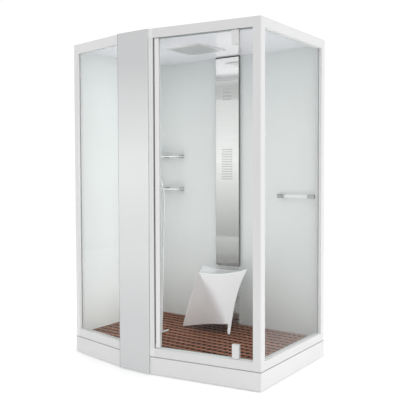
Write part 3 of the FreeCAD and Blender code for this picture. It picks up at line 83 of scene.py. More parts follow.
# turned shapes: distance along the axis, radius
HANDSET_NUT = [(0, 0.0066), (0.001, 0.0072), (0.0145, 0.0094), (0.016, 0.0088)]
HANDSET_GRIP_START = [(0.0161, 0.0100), (0.0175, 0.0109)]
HANDSET_GRIP_END = [(0.0895, 0.0109), (0.0905, 0.0110)]
HANDSET_HEAD = [
    (0.0906, 0.0110), (0.1, 0.0128), (0.11, 0.0156), (0.1195, 0.0186), (0.122, 0.0190),
    (0.134, 0.0190), (0.1345, 0.0186), (0.1365, 0.0186), (0.137, 0.0190), (0.1845, 0.0190),
    (0.188, 0.0180), (0.1895, 0.0160), (0.1899, 0.0140), (0.1895, 0.0136), (0.1895, 0.004),
]
HANDSET_GROOVE = [(0, 0.0109), (0.0008, 0.0102), (0.0022, 0.0102), (0.003, 0.0109)]
HANDSET_GROOVES = 9
HANDSET_FIRST_GROOVE = 0.024
HANDSET_GROOVE_PITCH = 0.0055
HANDSET_SIDES = 40
HANDSET_EDGE = 0.0002
SPRAY_FACE_START = 0.1888
SPRAY_FACE = [(0, 0.0132), (0.0004, 0.0134), (0.0008, 0.0130)]
SPRAY_TIP = [(0, 0.0007), (0.0005, 0.0005)]
SPRAY_TIP_START = 0.0006
SPRAY_TIP_SIDES = 8
SPRAY_RINGS = ((0.004, 6), (0.0078, 12), (0.0112, 18))    # radius, count

RAIN_CENTRE = (-0.030, 0.070)
RAIN_LOW = 2.156
RAIN_RECESS = 0.0019
RAIN_NOZZLES = 10                # in a row and in a column
RAIN_NOZZLE_PITCH = 0.027
RAIN_TIP = [
    (0, 0.0022), (0.0018, 0.0022), (0.0019, 0.0064), (0.0025, 0.0060), (0.0027, 0.0022),
    (0.0036, 0.0017), (0.0042, 0.0012), (0.0039, 0.0007),
]
RAIN_TIP_SIDES = 12

STOOL_VOXEL = 0.0026
STOOL_EASE = 0.5                 # share of the way to its neighbours that a vertex goes in one pass
STOOL_EASE_PASSES = 3

EDGE_WIDTH = 0.0008
EDGE_WELD = 0.00001
EDGE_ANGLE = 40                  # degrees
SOFT_EDGED = (
    "apron_door", "apron_left_front", "apron_right", "bottom_rail_door", "top_rail_door",
    "bottom_rail_right", "top_rail_right", "bottom_rail_left_front", "top_rail_left_front",
    "door_jamb", "column_post", "pivot_patches", "shower_panel_upper", "shower_panel_lower",
    "back_panel_left", "back_panel_right", "left_panel", "deck_grating",
)

# strips that a material draws along an edge: the first three paint the shade of gaps between parts, the last is
# the fade at the ends of a dark seal
GAP_SHADE_HEIGHT = 0.0045
LEFT_GAP_SHADE_WIDTH = 0.005
PANEL_TOP_GAP_SHADE = 0.009
SEAL_FADE = 0.001

# heights between which a finish changes, or its painted light or shade
SWEEP_TOP = (0.200, 0.205)
COVER_FOOT = (0.35, 1.25)
COVER_HEAD = (1.40, 2.00)
WALL_HEAD = (1.60, 2.15)
WALL_FOOT = (0.95, 0.20)
# painted reflection on the steel panel
PANEL_FACE = (0.62, 1.38)
PANEL_DIP_START = (1.45, 1.93)
PANEL_DIP_END = (1.95, 2.02)

# ================================================================ shares and directions
TONE_BAND = (0.35, 0.65)         # noise values between which a colour drifts
WEAR_BAND = (0.3, 0.7)           # noise values between which a roughness or a worn colour drifts
STRIP_FULL = 0.9                 # share of a strip's width that has its full colour
ROW_SHADE = (0.25, 0.31)         # share of the pitch from a row of holes where the painted shade on its cross strips ends

# how far a face points along an axis, between which a finish or its painted light or shade changes
RAIL_DOWN = (-0.9, -0.8)
CEILING_DOWN = (-0.6, -0.5)
WALL_INWARD = (0.6, 0.7)         # to the right less to the rear
PANEL_ASIDE = (0.8, 0.9)
STOOL_RIGHT = (0.1, 0.35)

SHEET_BACK = (0.58, 0.585, 0.585)
SHEET_BACK_WORN = (0.54, 0.545, 0.55)


# ================================================================ materials
class Recipe:
    """One material being built: a Principled shader and the nodes that feed it."""

    def __init__(self, name, colour, roughness, metallic=0.0):
        self.material = bpy.data.materials.new(name)
        self.material.use_nodes = True
        self.tree = self.material.node_tree
        self.shader = self.tree.nodes["Principled BSDF"]
        self.shader.inputs["Base Color"].default_value = (*colour, 1)
        self.shader.inputs["Roughness"].default_value = roughness
        self.shader.inputs["Metallic"].default_value = metallic
        self.place = self.node("ShaderNodeTexCoord").outputs["Object"]

    def node(self, kind, **settings):
        made = self.tree.nodes.new(kind)
        for key, value in settings.items():
            setattr(made, key, value)
        return made

    def feed(self, socket, value):
        if isinstance(value, bpy.types.NodeSocket):
            self.tree.links.new(value, socket)
        else:
            socket.default_value = value

    def math(self, operation, a, b=0.0):
        made = self.node("ShaderNodeMath", operation=operation)
        self.feed(made.inputs[0], a)
        self.feed(made.inputs[1], b)
        return made.outputs[0]

    def stretched(self, scale):
        """Object coordinates times a scale for each axis, in turns per metre."""
        made = self.node("ShaderNodeVectorMath", operation="MULTIPLY")
        self.feed(made.inputs[0], self.place)
        made.inputs[1].default_value = scale
        return made.outputs[0]

    def part_on(self, axis, vector):
        """One axis of a vector."""
        made = self.node("ShaderNodeSeparateXYZ")
        self.feed(made.inputs[0], vector)
        return made.outputs[axis]

    def axis(self, name):
        return self.part_on(name, self.place)

    def facing(self, name):
        """One axis of the direction that the flat face points in."""
        return self.part_on(name, self.node("ShaderNodeNewGeometry").outputs["True Normal"])

    def noise(self, scale, detail=3.0):
        made = self.node("ShaderNodeTexNoise")
        self.feed(made.inputs["Vector"], self.stretched(scale))
        made.inputs["Scale"].default_value = 1.0
        made.inputs["Detail"].default_value = detail
        return made.outputs["Fac"]

    def spread(self, value, span, first, last):
        """Value that goes from first to last over a span, held at the ends."""
        made = self.node("ShaderNodeMapRange")
        self.feed(made.inputs["Value"], value)
        for name, number in zip(("From Min", "From Max", "To Min", "To Max"), (*span, first, last)):
            made.inputs[name].default_value = number
        return made.outputs["Result"]

    def rise(self, value, span, top=1.0):
        return self.spread(value, span, 0.0, top)

    def fall(self, value, span):
        return self.spread(value, span, 1.0, 0.0)

    def strip_below(self, value, edge, width):
        """One down to a width below an edge, and nothing further down."""
        return self.rise(value, (edge - width, edge - STRIP_FULL * width))

    def strip_above(self, value, edge, width):
        """One up to a width above an edge, and nothing further up."""
        return self.fall(value, (edge + STRIP_FULL * width, edge + width))

    def blend(self, share, a, b):
        """Mix of two colours."""
        made = self.node("ShaderNodeMix", data_type="RGBA", blend_type="MIX")
        self.feed(made.inputs["Factor"], share)
        for socket, value in ((made.inputs[6], a), (made.inputs[7], b)):
            self.feed(socket, value if isinstance(value, bpy.types.NodeSocket) else (*value, 1))
        return made.outputs[2]

    def drift(self, noise, a, b, band=TONE_BAND, share=1.0):
        """Colour a that a noise carries towards b, by a share of the way."""
        return self.blend(self.rise(noise, band, share), a, b)

    def colour(self, value):
        self.feed(self.shader.inputs["Base Color"], value)

    def wear(self, noise, low, high):
        """Roughness that follows a noise."""
        self.feed(self.shader.inputs["Roughness"], self.spread(noise, WEAR_BAND, low, high))

    def bump(self, height, distance):
        """Relief of a height in metres."""
        made = self.node("ShaderNodeBump")
        made.inputs["Strength"].default_value = 1.0
        made.inputs["Distance"].default_value = distance
        self.feed(made.inputs["Height"], height)
        self.feed(self.shader.inputs["Normal"], made.outputs["Normal"])

    def relief(self, scale, distance, detail=2):
        self.bump(self.noise(scale, detail), distance)

    def coat(self, weight, roughness):
        self.shader.inputs["Coat Weight"].default_value = weight
        self.shader.inputs["Coat Roughness"].default_value = roughness


def even(value):
    """Grey colour, or the same scale on every axis."""
    return (value, value, value)


def speckled(recipe, colour, other, scale, low, high):
    """Slow drift of a surface's colour and roughness."""
    noise = recipe.noise(scale)
    recipe.colour(recipe.drift(noise, colour, other))
    recipe.wear(noise, low, high)


def powder_coat(name, tone, underside=1.0):
    """White coat with a slow drift of tone; underside is the share of it that faces pointing down keep, so below 1
    it paints shade on them.
    """
    recipe = Recipe(name, even(tone), 0.32)
    noise = recipe.noise((3, 3, 1))
    plain = recipe.drift(noise, even(tone - 0.01), even(tone + 0.01))
    below = recipe.fall(recipe.facing("Z"), RAIL_DOWN)
    recipe.colour(recipe.blend(below, plain, even(underside * tone)))
    recipe.wear(noise, 0.27, 0.37)
    recipe.relief(even(900), 0.00006)
    return recipe.material


def apron_gloss():
    """Gloss white apron with a grey strip along its top edge, a painted shade of the gap under the bottom rail."""
    gap_shade_grey = even(0.36)
    recipe = Recipe("apron_gloss", even(0.70), 0.2)
    noise = recipe.noise(even(2))
    plain = recipe.drift(noise, even(0.69), (0.71, 0.71, 0.708))
    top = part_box("apron_door")[1][2]
    # painted shade of the gap between the apron and the rail above it
    gap_shade = recipe.strip_below(recipe.axis("Z"), top, GAP_SHADE_HEIGHT)
    recipe.colour(recipe.blend(gap_shade, plain, gap_shade_grey))
    recipe.wear(noise, 0.16, 0.26)
    recipe.relief(even(30), 0.0001)
    recipe.coat(0.3, 0.06)
    return recipe.material


def cover_paint():
    """Gloss paint with painted light and shade: fullest at the middle of the cover's height and darker towards its
    head and foot, with a dark strip down its left edge that paints the shade of the gap beside it.
    """
    # painted shade at the cover's head and foot, painted light at the middle of its height
    dim, full = (0.595, 0.605, 0.61), (0.80, 0.815, 0.815)
    drifted, left_gap_shade_grey = (0.70, 0.71, 0.72), (0.28, 0.28, 0.29)
    recipe = Recipe("column_gloss", (0.78, 0.79, 0.80), 0.16)
    height = recipe.axis("Z")
    lit_middle = recipe.math("MULTIPLY", recipe.rise(height, COVER_FOOT), recipe.fall(height, COVER_HEAD))
    noise = recipe.noise((2, 2, 0.8))
    paint = recipe.drift(noise, recipe.blend(lit_middle, dim, full), drifted, share=0.04)
    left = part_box("column_cover")[0][0]
    # painted shade of the gap along the cover's left edge
    left_gap_shade = recipe.strip_above(recipe.axis("X"), left, LEFT_GAP_SHADE_WIDTH)
    recipe.colour(recipe.blend(left_gap_shade, paint, left_gap_shade_grey))
    recipe.wear(noise, 0.12, 0.2)
    recipe.relief(even(40), 0.00008)
    recipe.coat(0.5, 0.05)
    return recipe.material


def acrylic(name, colour, shade):
    recipe = Recipe(name, colour, 0.18)
    speckled(recipe, colour, shade, even(5), 0.14, 0.24)
    recipe.relief(even(18), 0.0002)
    recipe.coat(0.4, 0.06)
    return recipe.material


def ceiling_gloss():
    """Mirror-smooth white underside and a plain grey top."""
    violet_white, violet_shade = (0.87, 0.855, 0.91), (0.86, 0.845, 0.90)
    recipe = Recipe("ceiling_gloss", violet_white, 0.05)
    noise = recipe.noise(even(5))
    below = recipe.drift(noise, violet_white, violet_shade)
    above = recipe.drift(noise, SHEET_BACK, SHEET_BACK_WORN)
    recipe.colour(recipe.blend(recipe.fall(recipe.facing("Z"), CEILING_DOWN), above, below))
    recipe.wear(noise, 0.03, 0.06)
    recipe.relief(even(18), 0.0002)
    recipe.coat(0.4, 0.06)
    return recipe.material


def wall_gloss(name, tone, head, foot):
    """White wall sheet with a grey back, its face painted greyer up to head near the ceiling and to foot near the
    deck as shade there.
    """
    head_shade_grey, foot_shade_grey = (0.69, 0.715, 0.715), (0.64, 0.665, 0.655)
    recipe = Recipe(name, even(tone), 0.34)
    noise = recipe.noise((1.5, 1.5, 0.7))
    pale = (tone, tone + 0.02, tone + 0.015)
    plain = recipe.drift(noise, tuple(c - 0.01 for c in pale), pale)
    height = recipe.axis("Z")
    # painted shade towards the ceiling and towards the deck
    upper = recipe.blend(recipe.rise(height, WALL_HEAD, head), plain, head_shade_grey)
    face = recipe.blend(recipe.rise(height, WALL_FOOT, foot), upper, foot_shade_grey)
    back = recipe.drift(noise, SHEET_BACK, SHEET_BACK_WORN, WEAR_BAND)
    inward = recipe.math("SUBTRACT", recipe.facing("X"), recipe.facing("Y"))
    recipe.colour(recipe.blend(recipe.rise(inward, WALL_INWARD), back, face))
    recipe.wear(noise, 0.3, 0.38)
    recipe.relief(even(9), 0.0003, detail=1)
    return recipe.material


def panel_steel():
    """Polished sheet with a painted reflection: its colour is painted dark low down, where it mirrors the floor,
    and pale higher up, where it mirrors the bright room, with a dip below the top; its side returns and a strip at
    its top are painted shade.
    """
    floor_reflection_grey, room_reflection_white = (0.25, 0.247, 0.24), (0.98, 0.975, 0.965)
    dip_reflection_grey, marked_steel = (0.72, 0.715, 0.71), (0.6, 0.6, 0.59)
    side_shade_grey, top_gap_shade_grey = (0.30, 0.295, 0.285), (0.03, 0.03, 0.035)
    recipe = Recipe("panel_steel", (0.86, 0.86, 0.85), 0.04, 1.0)
    height = recipe.axis("Z")
    # painted reflection of the floor below and the bright room above
    face = recipe.blend(recipe.rise(height, PANEL_FACE), floor_reflection_grey, room_reflection_white)
    dip = recipe.math("MULTIPLY", recipe.rise(height, PANEL_DIP_START), recipe.fall(height, PANEL_DIP_END))
    shaded = recipe.blend(dip, face, dip_reflection_grey)
    marks = recipe.noise((3, 3, 60), 4)
    front = recipe.drift(marks, shaded, marked_steel, WEAR_BAND, share=0.06)
    # painted shade on the side returns
    aside = recipe.rise(recipe.math("ABSOLUTE", recipe.facing("X")), PANEL_ASIDE)
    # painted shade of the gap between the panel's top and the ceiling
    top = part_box("shower_panel_upper")[1][2]
    gap = recipe.strip_below(height, top, PANEL_TOP_GAP_SHADE)
    recipe.colour(recipe.blend(gap, recipe.blend(aside, front, side_shade_grey), top_gap_shade_grey))
    recipe.wear(marks, 0.03, 0.06)
    return recipe.material


def clear_glass(name, tint, edge, sheen):
    """Pane that passes light straight through and reflects more at a slant, with tinted narrow edges."""
    slant_power, slant_mirror = 5.0, 0.96
    filmed = tuple(0.992 * c for c in tint)
    recipe = Recipe(name, even(1), 0.02)
    slant = recipe.node("ShaderNodeLayerWeight")
    slant.inputs["Blend"].default_value = 0.5
    steep = recipe.math("POWER", slant.outputs["Facing"], slant_power)
    mirror = recipe.math("ADD", recipe.math("MULTIPLY", steep, slant_mirror), sheen)
    film = recipe.noise((2.2, 2.2, 1.1), 4)
    through = recipe.node("ShaderNodeBsdfTransparent")
    clear = recipe.drift(film, tint, filmed, WEAR_BAND)
    rim = recipe.math("ABSOLUTE", recipe.facing("Z"))
    recipe.feed(through.inputs["Color"], recipe.blend(rim, clear, edge))
    shine = recipe.node("ShaderNodeBsdfGlossy")
    shine.inputs["Roughness"].default_value = 0.015
    shine.inputs["Color"].default_value = (1, 1, 1, 1)
    mix = recipe.node("ShaderNodeMixShader")
    for socket, value in zip(mix.inputs, (mirror, through.outputs[0], shine.outputs[0])):
        recipe.feed(socket, value)
    recipe.feed(recipe.tree.nodes["Material Output"].inputs["Surface"], mix.outputs[0])
    recipe.tree.nodes.remove(recipe.shader)
    return recipe.material


def rubber(name, colour):
    """Recipe of a seal with its noise, which the caller colours."""
    recipe = Recipe(name, colour, 0.55)
    noise = recipe.noise((60, 60, 8))
    recipe.wear(noise, 0.48, 0.65)
    recipe.relief((500, 500, 120), 0.0001)
    return recipe, noise


def gasket_rubber():
    """Pale glazing rubber, with a dark seal between the jamb and the door's stile."""
    pale, paler, seal_dark = (0.78, 0.79, 0.79), (0.82, 0.83, 0.83), (0.15, 0.153, 0.153)
    recipe, noise = rubber("gasket_rubber", pale)
    place = recipe.axis("X")
    first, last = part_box("door_jamb")[0][0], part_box("door_stile")[1][0]
    past_first = recipe.rise(place, (first, first + SEAL_FADE))
    before_last = recipe.fall(place, (last - SEAL_FADE, last))
    beside_door = recipe.math("MULTIPLY", past_first, before_last)
    recipe.colour(recipe.blend(beside_door, recipe.drift(noise, pale, paler), seal_dark))
    return recipe.material


def door_seal():
    """Dark strip on the door's leading edge and a milky sweep along its foot."""
    dark, lighter, milky = (0.10, 0.105, 0.105), (0.14, 0.145, 0.145), (0.74, 0.75, 0.75)
    recipe, noise = rubber("door_seal_rubber", dark)
    strip = recipe.drift(noise, dark, lighter)
    recipe.colour(recipe.blend(recipe.fall(recipe.axis("Z"), SWEEP_TOP), strip, milky))
    return recipe.material


def foot_rubber():
    recipe = Recipe("foot_rubber", (0.03, 0.03, 0.032), 0.7)
    speckled(recipe, (0.025, 0.025, 0.027), (0.05, 0.05, 0.052), even(80), 0.6, 0.85)
    recipe.relief(even(600), 0.0002, detail=3)
    return recipe.material


def timber():
    """Oiled reddish hardwood: pale strips along the rows, with painted shade on the short strips across between
    the holes of a row and on the walls in the holes.
    """
    dark_grain, light_grain, figured = (0.26, 0.095, 0.045), (0.44, 0.18, 0.095), (0.30, 0.125, 0.070)
    dark_block, cross_strip_shade, hole_shade = (0.20, 0.078, 0.042), (0.05, 0.015, 0.007), (0.020, 0.008, 0.005)
    recipe = Recipe("oiled_hardwood", (0.2, 0.08, 0.045), 0.6)
    from_first = recipe.math("SUBTRACT", recipe.axis("Y"), DECK_FIRST_ROW)
    turns = recipe.math("MULTIPLY", from_first, 1 / DECK_PITCH_Y)
    from_row = recipe.math("ABSOLUTE", recipe.math("SUBTRACT", turns, recipe.math("ROUND", turns)))
    block = recipe.node("ShaderNodeVectorMath", operation="FLOOR")
    recipe.feed(block.inputs[0], recipe.stretched((1 / DECK_BLOCK, 1 / DECK_PITCH_Y, 0)))
    own = recipe.node("ShaderNodeTexWhiteNoise", noise_dimensions="3D")
    recipe.feed(own.inputs["Vector"], block.outputs[0])
    grain = recipe.noise((9, 240, 240), 5)
    figure = recipe.noise((2.5, 22, 22), 3)
    base = recipe.drift(grain, dark_grain, light_grain)
    tone = recipe.drift(figure, base, figured, share=0.5)
    blocks = recipe.blend(recipe.math("MULTIPLY", own.outputs["Value"], 0.5), tone, dark_block)
    # painted shade on the cross strips between the holes of a row
    on_strip_shade = recipe.math("MULTIPLY", recipe.fall(from_row, ROW_SHADE), 0.8)
    level = recipe.blend(on_strip_shade, blocks, cross_strip_shade)
    # painted shade on the walls of the holes, darker with depth
    depth = recipe.fall(recipe.axis("Z"), (DECK_TOP - DECK_SHADE_DEPTH, DECK_TOP - DECK_WORN))
    recipe.colour(recipe.blend(depth, level, hole_shade))
    recipe.wear(grain, 0.7, 0.5)
    recipe.shader.inputs["Specular IOR Level"].default_value = 0.1
    recipe.bump(grain, 0.0004)
    return recipe.material


def metal(name, colour, low, high, scale, bump_scale=None, bump_height=None):
    recipe = Recipe(name, colour, low, 1.0)
    marks = recipe.noise(scale, 4)
    recipe.wear(marks, low, high)
    recipe.colour(recipe.drift(marks, colour, tuple(0.93 * c for c in colour), WEAR_BAND))
    if bump_scale:
        recipe.relief(bump_scale, bump_height)
    return recipe.material


def plastic(name, colour, low, high, grain=300):
    recipe = Recipe(name, colour, low)
    speckled(recipe, colour, tuple(0.94 * c for c in colour), even(12), low, high)
    recipe.relief(even(grain), 0.00005)
    return recipe.material


def stool_gloss():
    """White moulding, a little cooler and paler as painted light where it doesn't face the right side."""
    white, whiter, wing_painted_light = (0.88, 0.87, 0.89), (0.90, 0.89, 0.91), (0.95, 0.97, 0.99)
    recipe = Recipe("stool_gloss", (0.89, 0.88, 0.90), 0.2)
    noise = recipe.noise(even(6))
    plain = recipe.drift(noise, white, whiter)
    # painted light on faces that don't point to the right
    recipe.colour(recipe.blend(recipe.fall(recipe.facing("X"), STOOL_RIGHT), plain, wing_painted_light))
    recipe.wear(noise, 0.16, 0.26)
    recipe.relief(even(14), 0.0003, detail=1)
    recipe.coat(0.6, 0.06)
    return recipe.material


def frosted_shelf():
    recipe = Recipe("frosted_shelf", (0.95, 0.955, 0.95), 0.3)
    speckled(recipe, (0.94, 0.945, 0.94), (0.96, 0.965, 0.96), even(20), 0.22, 0.36)
    recipe.shader.inputs["Transmission Weight"].default_value = 0.05
    recipe.shader.inputs["IOR"].default_value = 1.5
    return recipe.material


# ================================================================ mesh helpers
def piece(name, vertices, faces, material, body, smooth=True):
    """Mesh object that rides on a body."""
    mesh = bpy.data.meshes.new(name)
    mesh.from_pydata([tuple(v) for v in vertices], [], faces)
    mesh.validate()
    mesh.materials.append(material)
    for polygon in mesh.polygons:
        polygon.use_smooth = smooth
    made = bpy.data.objects.new(name, mesh)
    bpy.context.scene.collection.objects.link(made)
    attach(made, body)
    return made


def across(axis):
    """Two unit vectors square to an axis."""
    side = axis.orthogonal().normalized()
    return side, axis.cross(side)


def circle(centre, a, b, radius, count):
    """Points round a centre in the plane of two unit vectors."""
    angles = [2 * math.pi * i / count for i in range(count)]
    return [centre + (a * math.cos(angle) + b * math.sin(angle)) * radius for angle in angles]


def tube_faces(rings, sides, first=0):
    """Faces of a closed tube whose rings of vertices follow one another."""
    faces = []
    for ring in range(rings - 1):
        low = first + ring * sides
        for i in range(sides):
            j = (i + 1) % sides
            faces.append((low + i, low + j, low + sides + j, low + sides + i))
    last = first + (rings - 1) * sides
    faces.append(tuple(first + i for i in reversed(range(sides))))
    faces.append(tuple(last + i for i in range(sides)))
    return faces


def turned(profile, start, axis, sides, first=0):
    """Vertices and faces of a turned shape: profile holds (distance along the axis, radius)."""
    a, b = across(axis)
    vertices = []
    for distance, radius in profile:
        vertices += circle(start + axis * distance, a, b, radius, sides)
    return vertices, tube_faces(len(profile), sides, first)


def softened(obj, width, segments=2):
    """Small rounded edges, as a modifier."""
    weld = obj.modifiers.new("weld", "WELD")
    weld.merge_threshold = EDGE_WELD
    bevel = obj.modifiers.new("bevel", "BEVEL")
    bevel.width = width
    bevel.segments = segments
    bevel.limit_method = "ANGLE"
    bevel.angle_limit = math.radians(EDGE_ANGLE)
    bevel.harden_normals = True


# ================================================================ pieces
def smooth_line(points):
    """Points along the NURBS spline through a route, read from the curve itself."""
    data = bpy.data.curves.new("route", "CURVE")
    data.dimensions = "3D"
    data.resolution_u = 24
    spline = data.splines.new("NURBS")
    spline.points.add(len(points) - 1)
    for target, source in zip(spline.points, points):
        target.co = (*source, 1)
    spline.order_u = 3
    spline.use_endpoint_u = True
    holder = bpy.data.objects.new("route", data)
    bpy.context.scene.collection.objects.link(holder)
    bpy.context.view_layer.update()
    mesh = bpy.data.meshes.new_from_object(holder)
    line = [v.co.copy() for v in mesh.vertices]
    bpy.data.objects.remove(holder)
    bpy.data.meshes.remove(mesh)
    return line


def length_of(line):
    return sum((b - a).length for a, b in zip(line, line[1:]))


def evenly_spaced(line, steps):
    """Points that part a line into steps of one length, with both of its ends."""
    spacing = length_of(line) / steps
    stations = [line[0]]
    walked = 0.0
    target = spacing
    for a, b in zip(line, line[1:]):
        run = (b - a).length
        while walked + run >= target - ROUNDING and len(stations) < steps:
            stations.append(a.lerp(b, (target - walked) / run))
            target += spacing
        walked += run
    stations.append(line[-1])
    return stations


def hose_points():
    """The hose's route, whose x is from the column's right edge and y from its rear."""
    return [Vector((COLUMN_EDGE[0] + x, COLUMN_EDGE[1] + y, z)) for x, y, z in HOSE_ROUTE]


def ribbed_hose(material):
    """Metal spiral hose: rings whose radius swells and shrinks along the smooth route."""
    line = smooth_line(hose_points())
    per_rib = len(HOSE_RIB_SHAPE)
    stations = evenly_spaced(line, int(length_of(line) / HOSE_RIB_PITCH) * per_rib)
    vertices = []
    normal = Vector((0, 1, 0))
    for i, centre in enumerate(stations):
        ahead = stations[min(i + 1, len(stations) - 1)] - stations[max(i - 1, 0)]
        tangent = ahead.normalized()
        normal = (normal - tangent * normal.dot(tangent)).normalized()
        radius = HOSE_RADIUS - HOSE_RIB_DEPTH * HOSE_RIB_SHAPE[i % per_rib]
        vertices += circle(centre, normal, tangent.cross(normal), radius, HOSE_SIDES)
    hose = piece("hose_spiral", vertices, tube_faces(len(stations), HOSE_SIDES), material, "cabin")
    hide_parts("shower_hose")


def turned_handset(materials):
    """Handset along its own axis: nut, ribbed grip, neck and round spray head."""
    start, second = hose_points()[:2]
    axis = (start - second).normalized()
    profile = HANDSET_NUT + HANDSET_GRIP_START
    for i in range(HANDSET_GROOVES):
        base = HANDSET_FIRST_GROOVE + HANDSET_GROOVE_PITCH * i
        profile += [(base + distance, radius) for distance, radius in HANDSET_GROOVE]
    profile += HANDSET_GRIP_END + HANDSET_HEAD
    shape, faces = turned(profile, start, axis, HANDSET_SIDES)
    body = piece("handset_body", shape, faces, materials["chrome"], "cabin")
    softened(body, HANDSET_EDGE, segments=1)
    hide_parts("handset")

    face_start = start + axis * SPRAY_FACE_START
    shape, faces = turned(SPRAY_FACE, face_start, axis, HANDSET_SIDES)
    a, b = across(axis)
    for radius, count in SPRAY_RINGS:
        for spot in circle(face_start, a, b, radius, count):
            foot = spot + axis * SPRAY_TIP_START
            tip, tip_faces = turned(SPRAY_TIP, foot, axis, SPRAY_TIP_SIDES, len(shape))
            shape += tip
            faces += tip_faces
    face = piece("handset_spray_face", shape, faces, materials["grey"], "cabin", smooth=False)


def rain_nozzle_tips(material):
    """Soft nozzles in the recesses of the rain head, each with a collar on its face."""
    down = Vector((0, 0, -1))
    steps = [(i - (RAIN_NOZZLES - 1) / 2) * RAIN_NOZZLE_PITCH for i in range(RAIN_NOZZLES)]
    shape = []
    faces = []
    for aside in steps:
        for back in steps:
            start = Vector((RAIN_CENTRE[0] + aside, RAIN_CENTRE[1] + back, RAIN_LOW + RAIN_RECESS))
            tip, tip_faces = turned(RAIN_TIP, start, down, RAIN_TIP_SIDES, len(shape))
            shape += tip
            faces += tip_faces
    tips = piece("rain_nozzle_tips", shape, faces, material, "cabin")


def smooth_stool(material):
    """The moulded stool with its edges rounded over, remeshed from the part's own solid."""
    mesh = nodes["stool"].data.copy()
    mesh.name = "stool_moulding"
    made = bpy.data.objects.new("stool_moulding", mesh)
    bpy.context.scene.collection.objects.link(made)
    remesh = made.modifiers.new("remesh", "REMESH")
    remesh.mode = "VOXEL"
    remesh.voxel_size = STOOL_VOXEL
    ease = made.modifiers.new("ease", "SMOOTH")
    ease.factor = STOOL_EASE
    ease.iterations = STOOL_EASE_PASSES
    bpy.context.view_layer.update()
    shaped = bpy.data.meshes.new_from_object(made.evaluated_get(bpy.context.evaluated_depsgraph_get()))
    made.modifiers.clear()
    made.data = shaped
    shaped.name = "stool_moulding"
    shaped.materials.clear()
    shaped.materials.append(material)
    for polygon in shaped.polygons:
        polygon.use_smooth = True
    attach(made, "stool")
    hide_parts("stool")


# ================================================================ dress the part's nodes
METALS = {      # name, colour, lowest and highest roughness, marks per metre, bumps per metre and their height
    "chrome": ("chrome_plate", (0.86, 0.86, 0.87), 0.04, 0.09, (30, 30, 30)),
    "steel": ("polished_steel", (0.80, 0.79, 0.78), 0.07, 0.12, (3, 3, 60)),
    "satin": ("satin_steel", (0.93, 0.925, 0.915), 0.24, 0.32, (3, 3, 60)),
    "head_steel": ("head_steel", (0.96, 0.955, 0.95), 0.36, 0.44, (8, 8, 8)),
    "spring": ("hose_steel", (0.80, 0.80, 0.81), 0.12, 0.2, (80, 80, 80)),
    "zinc": ("galvanised", (0.62, 0.64, 0.66), 0.35, 0.5, (25, 25, 25), (60, 60, 60), 0.00006),
    "brass": ("brass_tube", (0.72, 0.52, 0.24), 0.2, 0.34, (40, 40, 40)),
    "shaded_chrome": ("shaded_chrome", (0.02, 0.02, 0.022), 0.06, 0.12, (30, 30, 30)),
    "block_chrome": ("block_chrome", (0.50, 0.50, 0.51), 0.06, 0.12, (30, 30, 30)),
}
PLASTICS = {    # name, colour, lowest and highest roughness, grains per metre
    "grey": ("grey_moulding", (0.36, 0.37, 0.38), 0.35, 0.5),
    "bush": ("bush_nylon", (0.72, 0.72, 0.70), 0.4, 0.5),
    "dark": ("nozzle_moulding", (0.05, 0.052, 0.055), 0.4, 0.55),
    "jets": ("jet_moulding", (0.30, 0.30, 0.31), 0.4, 0.55),
    "keys": ("key_moulding", (0.45, 0.45, 0.46), 0.3, 0.4),
    "pale": ("gloss_white_moulding", (0.88, 0.88, 0.88), 0.18, 0.26, 200),
}
COATS = {       # name, tone, share of it on faces that point down, below 1 a painted shade
    "coat": ("powder_coat_white", 0.685),
    # painted light: the same white coat made lighter on the near left post, the left top rail, the jamb and the
    # stile
    "lit_coat": ("powder_coat_lit", 0.76),
    # painted shade: the door's top rail keeps less than a third of its tone on faces that point down, where the
    # gap over the door falls dark
    "underside_shaded_coat": ("powder_coat_shaded_underside", 0.69, 0.3),
}
WALLS = {       # name, tone, lighter on the walls that more light reaches as painted light, share of painted shade near the ceiling and near the deck
    "left_wall": ("wall_gloss_left", 0.87, 0.3, 0.0),
    "rear_wall": ("wall_gloss_rear", 0.77, 1.0, 0.3),
    "right_wall": ("wall_gloss_right", 0.80, 1.0, 1.0),
}
PANES = {       # name, tint, tint of the narrow edges, share mirrored straight on
    "pane": ("pane_glass", (0.975, 0.985, 0.982), (0.70, 0.86, 0.80), 0.02),
    "door_pane": ("door_glass_clear", (0.985, 0.99, 0.988), (0.62, 0.82, 0.76), 0.01),
}
